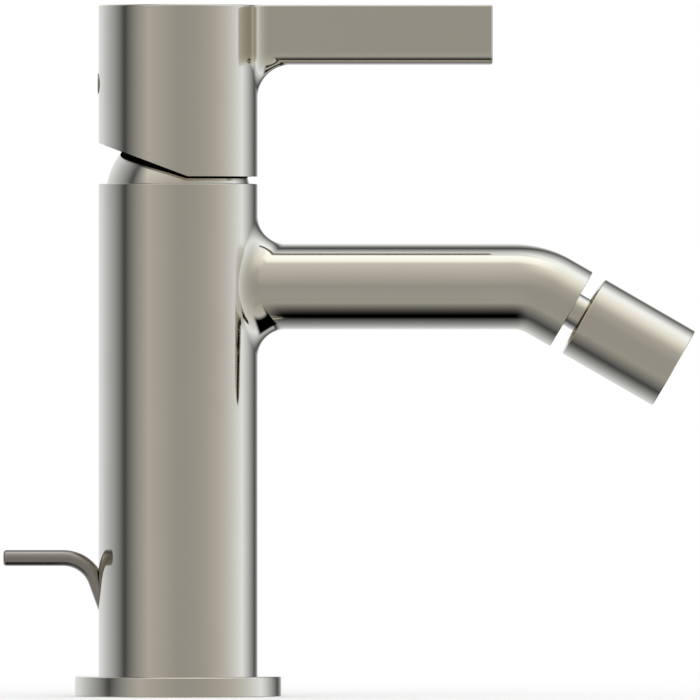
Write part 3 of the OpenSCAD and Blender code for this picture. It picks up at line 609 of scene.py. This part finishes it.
def lever_cap():
    """The cap and the flat lever that grows out of its front as one piece."""
    shell = Shell()
    half, patch_low = 30.0, 145.0  # the window in front for the lever's root
    rim_top = CAP_TOP - EDGE
    share = np.linspace(0, 1, 9)[:, None]
    theta = np.linspace(0, 360, TURN + 1)
    slope = math.tan(math.radians(CAP_SLOPE))

    def low_edge(r, angle):
        """The slanted lower edge: level at the front, rising behind the cut's start."""
        return CAP_Z + slope * np.maximum(CUT_START - r * np.cos(np.radians(angle)), 0)

    skirt = low_edge(COLUMN_R, theta)
    shell.grid(*column_at(theta[None, :], skirt + (patch_low - skirt) * share))
    patch_rows = np.concatenate([
        np.linspace(patch_low, LEVER_AXIS_Z, 17)[:-1],
        np.linspace(LEVER_AXIS_Z, rim_top, 9),
    ])
    beside = theta[(theta >= half - 0.01) & (theta <= 360 - half + 0.01)]
    shell.grid(*column_at(beside[None, :], patch_rows[:, None]))

    # the loop down one side of the lever, under it, and up the other side
    side_up = patch_rows[::-1]
    bottom = np.linspace(half, -half, 25)
    steps = len(patch_rows)
    edge_theta = np.concatenate([np.full(steps, half), bottom[1:-1], np.full(steps, -half)])
    edge_z = np.concatenate([side_up, np.full(len(bottom) - 2, patch_low), patch_rows])
    psi = np.arctan2(np.minimum(edge_z - LEVER_AXIS_Z, 0), COLUMN_R * np.sin(np.radians(edge_theta)))
    rise = np.maximum(edge_z - LEVER_AXIS_Z, 0)
    root, root_facing = saddle_patch(psi, 14, lever_fillet, LEVER_R, LEVER_AXIS_Z)
    root[..., 2] += rise
    rim_theta = np.degrees(np.arctan2(root[0, :, 1], root[0, :, 0]))
    between = edge_theta * (1 - share) + rim_theta * share
    shell.grid(*column_at(between, edge_z * (1 - share) + root[0, :, 2] * share))
    shell.grid(root, root_facing)
    blade_stop = LEVER_REACH - EDGE
    blade_end = root[-1].copy()
    blade_end[:, 0] = blade_stop
    blade = root[-1] * (1 - share[..., None]) + blade_end * share[..., None]
    shell.grid(blade, root_facing[-1])
    tip = blade_end - EDGE * root_facing[-1]
    tip[:, 0] = LEVER_REACH
    ahead = np.array([1.0, 0, 0])
    tip_facing = np.stack([root_facing[-1], np.broadcast_to(ahead, tip.shape)])
    shell.grid(np.stack([blade_end, tip]), tip_facing)
    far_half = len(tip) // 2 + 1
    shell.grid(np.stack([tip[:far_half], tip[::-1][:far_half]]), ahead)

    # the small rounding round the top edge, and the flat top
    up = np.array([0.0, 0, 1.0])
    ring = column_at(beside, rim_top)
    patch_top = column_at(half * (1 - share) + rim_theta[0] * share, rim_top)
    left_side = [patch_top[0][:, 0], root[:, 0], blade[1:, 0], tip[None, 0]]
    blade_facing = np.tile(root_facing[-1, :1], (len(blade) - 1, 1))
    left_facing = [patch_top[1][:, 0], root_facing[:, 0], blade_facing, ahead[None]]
    right_side = [p * [1, -1, 1] for p in left_side]
    right_facing = [n * [1, -1, 1] for n in left_facing]
    outline = np.concatenate([ring[0]] + right_side + [p[::-1] for p in left_side[::-1]])
    facing = np.concatenate([ring[1]] + right_facing + [n[::-1] for n in left_facing[::-1]])
    inset = outline - EDGE * facing
    corner = np.isclose(outline[:, 0], LEVER_REACH) | np.isclose(outline[:, 0], blade_stop)
    inset[corner, 0] = blade_stop
    inset[corner, 1] = np.sign(outline[corner, 1]) * (LEVER_R - EDGE)
    inset[:, 2] = CAP_TOP
    a = np.radians(np.linspace(0, 90, 6))[:, None, None]
    centre = inset - EDGE * up
    rounding = centre + (outline - centre) * np.cos(a) + EDGE * up * np.sin(a)
    shell.grid(rounding, facing * np.cos(a) + up * np.sin(a))
    distinct = np.concatenate([[True], np.linalg.norm(np.diff(inset, axis=0), axis=1) > 1e-6])
    loop = inset[distinct]
    if np.linalg.norm(loop[0] - loop[-1]) < 1e-6:
        loop = loop[:-1]
    shell.flat([loop], up)

    # the lower rim, the skirt's bore and the hollow inside
    inner = low_edge(SKIRT_BORE_R, theta)
    out = np.stack([np.cos(np.radians(theta)), np.sin(np.radians(theta)), 0 * theta], axis=-1)
    rim = np.stack([out * COLUMN_R + np.outer(skirt, up), out * SKIRT_BORE_R + np.outer(inner, up)])
    cut_side = 97.5  # how far round from the back the slanted cut goes
    slanted = np.abs(180 - (theta[:-1] + theta[1:]) / 2) < cut_side
    a = math.radians(CAP_SLOPE)
    shell.grid(rim, -up, ~slanted[None])
    shell.grid(rim, np.array([-math.sin(a), 0, -math.cos(a)]), slanted[None])
    bore_top = out * SKIRT_BORE_R + SKIRT_TOP * up
    shell.grid(np.stack([rim[1], bore_top]), -out)
    turned(shell, [
        run((CAP_BORE_R, SKIRT_TOP), (SKIRT_BORE_R, SKIRT_TOP)),
        run((CAP_BORE_R, CAP_CEILING), (CAP_BORE_R, SKIRT_TOP), 4),
        run((0, CAP_CEILING), (CAP_BORE_R, CAP_CEILING)),
    ], steps=TURN)
    return shell.piece("lever_cap", "lever_handle", ["handle"], "satin_metal")


def spout_axis():
    """The ball's centre and the direction of the spout's end."""
    a = math.radians(BEND_ANGLE)
    along = np.array([math.cos(a), 0, -math.sin(a)])
    up = np.array([math.sin(a), 0, math.cos(a)])
    ball = np.array([SPOUT_REACH, 0, SPOUT_Z - BEND_R]) + BEND_R * up + (END_LEN + BALL_FROM_END) * along
    return ball, along


def ball_neck():
    """The hollow ball with its neck and the foot that sits in the spout's end."""
    shell = Shell()
    origin, axis = spout_axis()
    waterway, foot_r, back, front = 2.8, 5.95, -17.0, -11.8
    edge, root = 0.4, 0.6
    meet = -math.sqrt(BALL_R**2 - NECK_R**2)
    start = math.degrees(math.asin(meet / BALL_R))
    stop = math.degrees(math.acos(waterway / BALL_R))
    tip = BALL_R * math.sin(math.radians(stop))
    turned(shell, path((waterway, back), (foot_r, back), (foot_r, front - edge)) + [
        arc((foot_r - edge, front - edge), edge, 0, 90, 5),
        run((foot_r - edge, front), (NECK_R + root, front)),
        arc((NECK_R + root, front + root), root, 270, 180, 6),
        run((NECK_R, front + root), (NECK_R, meet)),
        arc((0, 0), BALL_R, start, stop, 32),
        run((waterway, tip), (waterway, back)),
    ], origin, axis)
    return shell.piece("ball_neck", "mixer_body", ["ball_stud"], "satin_metal")


def spray_nozzle():
    """The nozzle's turned housing: a rounded rear shoulder, the ball's pocket, the water
    passage and the wide outlet for the aerator."""
    shell = Shell()
    origin, axis = spout_axis()
    rear, seat, outlet, front = -8.33, -1.0, 10.0, 18.2
    passage_r, outlet_r = 5.1, 9.2
    at_passage = math.degrees(math.acos(passage_r / POCKET_R))
    at_seat = math.degrees(math.asin(seat / POCKET_R))
    seat_r = POCKET_R * math.cos(math.radians(at_seat))
    passage_top = POCKET_R * math.sin(math.radians(at_passage))
    edge, front_edge, lip = 0.35, 0.25, 0.2
    rim = (NOZZLE_R - edge, rear + 0.68)
    turned(shell, shoulder((RING_SEAT_R, rear), rim, edge, 11.4, 8) + [
        run((NOZZLE_R, rim[1]), (NOZZLE_R, front - front_edge), 4),
        arc((NOZZLE_R - front_edge, front - front_edge), front_edge, 0, 90, 5),
        run((NOZZLE_R - front_edge, front), (outlet_r + lip, front)),
        arc((outlet_r + lip, front - lip), lip, 90, 180, 4),
        *path((outlet_r, front - lip), (outlet_r, outlet), (passage_r, outlet), (passage_r, passage_top)),
        arc((0, 0), POCKET_R, at_passage, at_seat, 24),
        *path((seat_r, seat), (RING_SEAT_R, seat), (RING_SEAT_R, rear)),
    ], origin, axis, TURN)
    return shell.piece("spray_nozzle", "nozzle", ["nozzle_housing"], "satin_metal")


def nozzle_rear_ring():
    """The threaded ring that holds the ball in: its rear stands a little proud."""
    shell = Shell()
    origin, axis = spout_axis()
    back, lip, front = -8.5, -3.8, -1.1
    low = math.degrees(math.asin(lip / POCKET_R))
    high = math.degrees(math.asin(front / POCKET_R))
    outer, flat_r, mouth_r, throat_r = 8.75, 7.7, 7.0, 6.1
    edge, mouth_edge = 0.15, 0.2
    rim = (outer - edge, back + 0.28)
    turned(shell, [
        run((mouth_r + mouth_edge, back), (flat_r, back)),
        *shoulder((flat_r, back), rim, edge, 8.0, 5),
        *path((outer, rim[1]), (outer, front), (POCKET_R * math.cos(math.radians(high)), front)),
        arc((0, 0), POCKET_R, high, low, 12),
        *path((POCKET_R * math.cos(math.radians(low)), lip), (throat_r, lip), (mouth_r, back + mouth_edge)),
        arc((mouth_r + mouth_edge, back + mouth_edge), mouth_edge, 180, 270, 4),
    ], origin, axis, TURN)
    return shell.piece("nozzle_rear_ring", "nozzle", ["ball_retainer"], "satin_metal")


def lever_plug():
    """The small round plug over the lever's set screw, with a softened rim."""
    shell = Shell()
    low, high = find("index_plug")
    depth, edge = high[0] - low[0], 0.2
    turned(shell, path((0, 0), (PLUG_R, 0), (PLUG_R, depth - edge)) + [
        arc((PLUG_R - edge, depth - edge), edge, 0, 90, 4),
        run((PLUG_R - edge, depth), (0, depth)),
    ], (high[0], 0, (low[2] + high[2]) / 2), (-1, 0, 0), 48)
    return shell.piece("lever_plug", "lever_handle", ["index_plug"], "dark_metal")


def drain_rod():
    """The bent lift rod. Each ring sits on the middle line: a straight finger, an arc, and
    the slanted straight that goes down inside the column."""
    shell = Shell()
    turn = math.radians(ROD_ANGLE)
    bend_x = ROD_EXIT_X - ROD_BEND_R * math.sin(turn)
    centre = np.array([bend_x, 0, ROD_Z - ROD_BEND_R])
    tip, arc_len = bend_x - ROD_TIP_X, ROD_BEND_R * turn
    edge, rounding = 0.7, np.radians(np.linspace(90, 0, 9))
    s = np.concatenate([
        -tip + edge * (1 - np.sin(rounding)), [-tip / 2, -1.0], np.linspace(0, arc_len, 25),
        arc_len + np.linspace(0, ROD_SUNK, 7)[1:],
    ])
    r = np.full(s.shape, ROD_R)
    lean = np.zeros(s.shape)
    r[:len(rounding)] = ROD_R - edge * (1 - np.cos(rounding))
    lean[:len(rounding)] = rounding
    a = np.clip(s / ROD_BEND_R, 0, turn)[:, None]
    zero = np.zeros_like(a)
    along = np.concatenate([np.cos(a), zero, -np.sin(a)], axis=1)
    up = np.concatenate([np.sin(a), zero, np.cos(a)], axis=1)
    straight = np.where(s < 0, s, np.maximum(s - arc_len, 0))[:, None]
    middle = centre + ROD_BEND_R * up + straight * along
    phi = np.radians(np.linspace(0, 360, 49))[:, None]
    out = np.cos(phi) * up[:, None] + np.sin(phi) * np.array([0, 1.0, 0])
    place = middle[:, None] + r[:, None, None] * out
    facing = np.cos(lean)[:, None, None] * out - np.sin(lean)[:, None, None] * along[:, None]
    shell.grid(place, facing)
    for end, way in ((0, -1), (-1, 1)):
        disc = np.stack([place[end], np.broadcast_to(middle[end], place[end].shape)])
        shell.grid(disc, way * along[end])
    return shell.piece("drain_rod", "lift_rod", ["lift_rod"], "dark_metal")


class Field:
    """A number that changes from place to place: a socket that is added, subtracted,
    multiplied, divided, raised and limited as numbers are."""

    def __init__(self, graph, socket):
        self.graph = graph
        self.socket = socket

    def maths(self, operation, *others, **settings):
        """A Math node whose first value is this one."""
        values = dict(enumerate((self, *others)))
        return self.graph.node("ShaderNodeMath", dict(operation=operation, **settings), values)

    def __add__(self, other):
        return self.maths("ADD", other)

    def __sub__(self, other):
        return self.maths("SUBTRACT", other)

    def __rsub__(self, other):
        return self * -1.0 + other

    def __mul__(self, other):
        return self.maths("MULTIPLY", other)

    def __truediv__(self, other):
        return self.maths("DIVIDE", other)

    def __pow__(self, other):
        return self.maths("POWER", other)

    __radd__ = __add__
    __rmul__ = __mul__

    def limited(self):
        """Kept between 0 and 1."""
        return self.maths("ADD", 0.0, use_clamp=True)

    def ramp(self, start, end, low=0.0, high=1.0, kind="LINEAR"):
        """low before start, high past end, straight or soft between them."""
        settings = {"interpolation_type": kind, "clamp": True}
        values = {"Value": self, "From Min": start, "From Max": end, "To Min": low, "To Max": high}
        return self.graph.node("ShaderNodeMapRange", settings, values)

    def soft(self, start, end, low=0.0, high=1.0):
        """A ramp that starts and ends gently."""
        return self.ramp(start, end, low, high, "SMOOTHSTEP")

    def band(self, start, full, fading, end):
        """0 before start, 1 from full to fading, and 0 again past end."""
        return self.soft(start, full) * self.soft(fading, end, 1, 0)


class Graph:
    """The nodes of one material or of the world."""

    def __init__(self, owner):
        owner.use_nodes = True
        self.tree = owner.node_tree
        self.tree.nodes.clear()

    def node(self, kind, settings=None, values=None, out=0):
        """Adds a node of a type, sets its settings first, then the values or links of its
        sockets by name or number, and gives one of its outputs back."""
        made = self.tree.nodes.new(kind)
        for key, value in (settings or {}).items():
            setattr(made, key, value)
        for key, value in (values or {}).items():
            if isinstance(value, Field):
                self.tree.links.new(value.socket, made.inputs[key])
            else:
                made.inputs[key].default_value = value
        return Field(self, made.outputs[out] if len(made.outputs) else None)

    def place(self, scale=(1, 1, 1)):
        """The Object coordinates, scaled by a Mapping node."""
        where = self.node("ShaderNodeTexCoord", out="Object")
        return self.node("ShaderNodeMapping", None, {"Vector": where, "Scale": scale})

    def split(self, vector):
        """The three numbers of a vector."""
        parts = self.node("ShaderNodeSeparateXYZ", None, {0: vector}).socket.node
        return [Field(self, socket) for socket in parts.outputs]

    def noise(self, where, scale, detail=2.0, rough=0.5):
        """Clouds of about 1 / scale metres, with detail finer octaves."""
        values = {"Vector": where, "Scale": scale, "Detail": detail, "Roughness": rough}
        return self.node("ShaderNodeTexNoise", None, values)

    def blend(self, share, first, second):
        """A colour between two colours."""
        settings = {"data_type": "RGBA", "clamp_factor": True}
        return self.node("ShaderNodeMix", settings, {0: share, 6: first, 7: second}, out=2)

    def bump(self, height, depth, strength=1.0, below=None):
        """Normals of a relief depth metres deep, laid over another relief's normals."""
        values = {"Height": height, "Distance": depth, "Strength": strength}
        if below is not None:
            values["Normal"] = below
        return self.node("ShaderNodeBump", None, values)

    def surface(self, **sockets):
        """The principled shader and the material's output."""
        named = {key.replace("_", " "): value for key, value in sockets.items()}
        shader = self.node("ShaderNodeBsdfPrincipled", None, named)
        self.node("ShaderNodeOutputMaterial", None, {"Surface": shader})


def tone(r, g, b):
    """An opaque colour, as light is added up and not as a screen shows it."""
    return (r, g, b, 1.0)


def cast_metal(name, colour, shade, rough, spread, grain, shaded_hollow=None):
    """Polished and lacquered nickel-brass: a warm tone that drifts a little over the piece, a
    haze of very fine lapping marks, and a slight unevenness of the buffed surface. The last
    argument gives the radius, lowest and highest height in millimetres of a hollow round the
    column's axis whose walls get painted shade: a near-black colour, and a rougher surface."""
    material = bpy.data.materials.new(name)
    g = Graph(material)
    where = g.place()
    cloud = g.noise(where, 38.0, 3.0).soft(0.3, 0.7)
    lapping = g.noise(g.place(scale=(1.0, 1.0, 0.12)), 5200.0, 2.0, 0.6)
    haze = g.noise(where, 210.0, 4.0, 0.6)
    polished = g.blend(cloud * 0.6 + haze * 0.4, colour, shade)
    roughness = rough + (haze - 0.5) * spread + (lapping - 0.5) * spread * 0.8
    # painted shade: inside the hollow the colour goes near-black and the surface rougher
    if shaded_hollow:
        radius, low, high = (c * MM for c in shaded_hollow)
        blur = 0.05 * MM
        x, y, z = g.split(where)
        painted_hollow_shade = 1 - (x * x + y * y).maths("SQRT").ramp(radius, radius + blur)
        painted_hollow_shade = painted_hollow_shade * z.ramp(low, low + blur) * z.ramp(high, high + blur, 1, 0)
        polished = g.blend(painted_hollow_shade, polished, tone(0.11, 0.10, 0.085))
        roughness = roughness * (1 - painted_hollow_shade) + painted_hollow_shade * (0.5 + (haze - 0.5) * 0.3)
    g.surface(
        Base_Color=polished,
        Metallic=1.0,
        Roughness=roughness,
        Normal=g.bump(lapping, 2e-7, grain, g.bump(haze, 1.2e-6, 0.05)),
    )
    return material


def moulded(name, colour, shade, rough, grain):
    """A moulded plastic or pressed ceramic: a fine even grain and a faint drift of tone."""
    material = bpy.data.materials.new(name)
    g = Graph(material)
    where = g.place()
    drift = g.noise(where, 160.0, 3.0)
    pores = g.noise(where, 2600.0, 2.0, 0.6)
    g.surface(
        Base_Color=g.blend(drift, colour, shade),
        Roughness=rough + (pores - 0.5) * 0.12,
        Normal=g.bump(pores, 6e-6, grain),
    )
    return material


def machined(name, colour, shade, rough):
    """A turned or drawn metal part: tool marks as fine rings of height along its length."""
    material = bpy.data.materials.new(name)
    g = Graph(material)
    where = g.place()
    tarnish = g.noise(where, 120.0, 4.0, 0.6)
    rings = {"wave_type": "BANDS", "bands_direction": "Z"}
    values = {"Vector": where, "Scale": 900.0, "Distortion": 1.5, "Detail": 2.0}
    marks = g.node("ShaderNodeTexWave", rings, values, out=1)
    g.surface(
        Base_Color=g.blend(tarnish.soft(0.35, 0.7), colour, shade),
        Metallic=1.0,
        Roughness=rough + (tarnish - 0.5) * 0.15,
        Normal=g.bump(marks, 4e-6, 0.4),
    )
    return material


def rubber_seal(name):
    """Black moulded rubber with a dusty bloom in its low places."""
    material = bpy.data.materials.new(name)
    g = Graph(material)
    bloom = g.noise(g.place(), 320.0, 5.0, 0.65)
    g.surface(
        Base_Color=g.blend(bloom.soft(0.45, 0.75), tone(0.012, 0.012, 0.013), tone(0.035, 0.035, 0.036)),
        Roughness=0.62 + (bloom - 0.5) * 0.2,
        Normal=g.bump(bloom, 2e-5, 0.5),
    )
    return material


# colour, shade, roughness, its spread, and the strength of the lapping marks
NICKEL = (tone(0.605, 0.568, 0.472), tone(0.59, 0.553, 0.458), 0.06, 0.03, 0.25)
# a darker, rougher copy of the nickel, about 0.55 of its tone
DARKER_NICKEL = (tone(0.335, 0.31, 0.265), tone(0.315, 0.29, 0.25), 0.22, 0.06, 0.35)
# the hollows with painted shade: radius, lowest and highest height in millimetres
MOUTH_SHADE_ZONE = (MOUTH_R + 0.05, NUT_SHELF - 8, COLUMN_TOP - 0.1)
CAP_SHADE_ZONE = (SKIRT_BORE_R + 0.05, CAP_Z + 0.1, CAP_CEILING + 1)
# materials of the column and the cap with painted shade in their hollows
HOLLOW_SHADED_MATERIALS = {
    "mixer_column": cast_metal("polished_nickel_column_shaded_mouth", *NICKEL, shaded_hollow=MOUTH_SHADE_ZONE),
    "lever_cap": cast_metal("polished_nickel_cap_shaded_hollow", *NICKEL, shaded_hollow=CAP_SHADE_ZONE),
}
FINISHES = {
    "satin_metal": cast_metal("polished_nickel", *NICKEL),
    "dark_metal": cast_metal("darker_nickel", *DARKER_NICKEL),
    "brass": machined("turned_brass", tone(0.78, 0.62, 0.32), tone(0.68, 0.52, 0.26), 0.24),
    "steel": machined("drawn_steel", tone(0.58, 0.585, 0.59), tone(0.50, 0.505, 0.51), 0.26),
    "polymer": moulded("white_acetal", tone(0.80, 0.80, 0.77), tone(0.76, 0.76, 0.73), 0.36, 0.25),
    "grey_polymer": moulded("grey_acetal", tone(0.36, 0.37, 0.38), tone(0.32, 0.33, 0.34), 0.42, 0.3),
    "ceramic": moulded("pressed_alumina", tone(0.86, 0.84, 0.79), tone(0.82, 0.80, 0.75), 0.16, 0.08),
    "rubber": rubber_seal("black_rubber"),
}


def studio_world():
    """A white room whose camera and diffuse rays are plain, with a soft studio for the
    reflections. The lights stand round the line from the camera to the object, so each is
    placed by its angle from the camera and its roll about that line: a dim front wall that
    grows brighter towards its sides, a long screen over and to the right, a strip light
    overhead, white behind, dark grey flags between the front and the back, and a black card
    low on the right."""
    world = bpy.data.worlds.new("studio")
    bpy.context.scene.world = world
    g = Graph(world)
    x, y, z = g.split(g.node("ShaderNodeTexCoord", out="Generated"))
    inside = 0.99999  # keeps the arc cosine defined
    angle = (y * -inside).maths("ARCCOSINE") * (180 / math.pi)
    aside = (x * x + z * z + 1e-6).maths("SQRT")
    across, rise = x / aside, z / aside
    over, under = rise.soft(0.0, 1.0), rise.soft(0.0, -1.0)
    sideways = across.maths("ABSOLUTE")
    turned_side = sideways.soft(0.0, 0.55)
    turned_low = sideways.soft(0.03, 0.35)
    to_right = across.soft(-0.05, 0.05)
    up_share = over * (1 - turned_side)
    down_share = under * (1 - turned_low)
    side_share = 1 - up_share - down_share
    right_share = side_share * to_right
    left_share = side_share - right_share

    def by_roll(left, down, up, right):
        return left_share * left + down_share * down + up_share * up + right_share * right

    high_left = left_share * over
    wall_level = 0.48
    right_wall = (angle / 108) ** 2.3 * right_share * 0.73
    growing = angle * by_roll((1 - under) * 0.004, 0.0015, 0.0062, 0.0)
    wall = right_wall + growing + wall_level + high_left * angle.soft(12, 60) * 0.25
    fall_from = by_roll(43, 44, 100, 107) + high_left * 32
    fall_to = by_roll(88 + under * 6, 86, 125, 160)
    fall = 1 - ((angle - fall_from) / (fall_to - fall_from)).limited()
    front = wall * fall ** (1 + down_share + right_share)
    dark_at, white_at = by_roll(84 + under, 93, 125, 148), by_roll(142, 155, 157, 178)
    rear = ((angle - dark_at) / (white_at - dark_at)).limited()
    rear = rear ** (1 - left_share * (1 - under * 0.5) * 0.3)
    behind = rear * by_roll(0.95 - under * 0.08, 0.9, 1.04, 1.0)
    strip = angle.band(63, 75, 90, 95) * up_share * 0.62
    screen = angle.band(34, 74, 90, 116) * 0.44 + angle.soft(6, 34) * 0.05
    screen = screen * rise.soft(0.3, 0.85) * across.soft(0.0, 0.4)
    card = angle.band(68, 80, 112, 124) * across.band(0.0, 0.08, 0.8, 0.9) * rise.soft(-0.3, -0.5)
    flags = by_roll(0.09, 0.0, 0.12, 0.13)
    studio = (front + behind + strip + screen).maths("MAXIMUM", flags) * (1 - card)
    cool = angle.soft(58 - left_share * 14, 104) * angle.soft(120, 175, 1, 0.15)
    tints = {0: studio, 1: studio * (1 + cool * 0.06), 2: studio * (1 + cool * 0.21)}
    level = g.node("ShaderNodeCombineColor", None, tints)
    mirrored = g.node("ShaderNodeLightPath", out="Is Glossy Ray")
    colour = g.blend(mirrored, tone(1.0, 1.0, 1.0), level)
    sky = g.node("ShaderNodeBackground", None, {0: colour, 1: 1.0})
    g.node("ShaderNodeOutputWorld", None, {0: sky})


def room_surface(name, corners, faces):
    """A surface of the room with an empty material of its own."""
    mesh = bpy.data.meshes.new(name)
    mesh.from_pydata(corners, [], faces)
    mesh.materials.append(bpy.data.materials.new(name))
    obj = bpy.data.objects.new(name, mesh)
    bpy.context.scene.collection.objects.link(obj)
    return obj


def deck_sheen(low):
    """What the polished metal mirrors of the deck: a grey as dim as the front wall, in front
    of the column's foot. It leaves out the dark cards that lie below the spout and the rod."""
    reach = 0.3
    corners = [(-reach, -reach, low), (reach, -reach, low), (reach, reach, low), (-reach, reach, low)]
    sheen = room_surface("deck_sheen", corners, [(0, 1, 2, 3)])
    for ray in ("camera", "diffuse", "transmission", "volume_scatter", "shadow"):
        setattr(sheen, "visible_" + ray, False)
    g = Graph(sheen.data.materials[0])
    x, y, _ = g.split(g.place())
    near = (x * x + y * y).maths("SQRT").soft(0.12, 0.24, 1, 0) * y.soft(0.0, 0.05, 1, 0)
    spout_card = x.soft(0.018, 0.026) * y.soft(-0.13, -0.10)
    rod_card = x.band(-0.07, -0.055, -0.030, -0.024) * y.soft(-0.04, -0.022)
    shown = near * (1 - spout_card) * (1 - rod_card)
    clear = g.node("ShaderNodeBsdfTransparent")
    glow = g.node("ShaderNodeEmission", None, {"Color": tone(0.5, 0.5, 0.5), "Strength": 1.0})
    both = g.node("ShaderNodeMixShader", None, {0: shown, 1: clear, 2: glow})
    g.node("ShaderNodeOutputMaterial", None, {"Surface": both})


def pale_floor(low):
    """A wide floor that the polished metal doesn't mirror, its squares growing outwards as
    the square of their number."""
    reach, steps, below = 60.0, 40, 0.00002
    a = np.linspace(-1, 1, steps + 1)
    gx, gy = np.meshgrid(a * np.abs(a) * reach, a * np.abs(a) * reach)
    corners = np.stack([gx, gy, np.full_like(gx, low - below)], axis=-1).reshape(-1, 3)
    row = steps + 1
    cell = (np.arange(steps)[:, None] * row + np.arange(steps)).ravel()
    quads = np.stack([cell, cell + 1, cell + row + 1, cell + row], axis=1)
    floor = room_surface("floor", corners.tolist(), quads.tolist())
    floor.visible_glossy = False
    g = Graph(floor.data.materials[0])
    fleck = g.noise(g.place(), 30.0, 3.0)
    g.surface(
        Base_Color=g.blend(fleck, tone(0.93, 0.93, 0.93), tone(0.94, 0.94, 0.94)),
        Roughness=0.9,
        Specular_IOR_Level=0.0,
        Emission_Color=tone(1, 1, 1),
        Emission_Strength=0.07,
    )


def long_lens():
    """A camera far in front, level with the middle of the photograph. width is what its frame
    takes in across at the column, all in metres."""
    distance, width, middle_x, middle_z = 6.0, 0.1759, 0.0432, 0.08695
    camera = bpy.data.cameras.new("camera")
    camera.sensor_width = 36.0
    camera.lens = camera.sensor_width * distance / width
    camera.clip_start, camera.clip_end = 0.1, 200.0
    eye = bpy.data.objects.new("camera", camera)
    eye.location = (middle_x, -distance, middle_z)
    eye.rotation_euler = (math.pi / 2, 0, 0)
    bpy.context.scene.collection.objects.link(eye)
    bpy.context.scene.camera = eye


def paint(obj, slot):
    """Gives an object its own material, with painted shade in its hollows, or its slot's."""
    obj.data.materials.clear()
    obj.data.materials.append(HOLLOW_SHADED_MATERIALS.get(obj.name, FINISHES[slot]))


DECK = float(CAD_BOX[0][2])
long_lens()
pale_floor(DECK)
deck_sheen(DECK)
studio_world()

SLOT_OF = {part["node"]: part["material_slot"] for part in frame["record"]["subparts"]}
PIECES = (
    mixer_column(), base_flange(), dome_shroud(), lever_cap(), ball_neck(),
    spray_nozzle(), nozzle_rear_ring(), lever_plug(), drain_rod(),
)
for made in PIECES:
    paint(made, made["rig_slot"])
for name, node in frame["nodes"].items():
    if not node.hide_render:
        paint(node, SLOT_OF[name])

bpy.context.scene.view_settings.view_transform = "Standard"
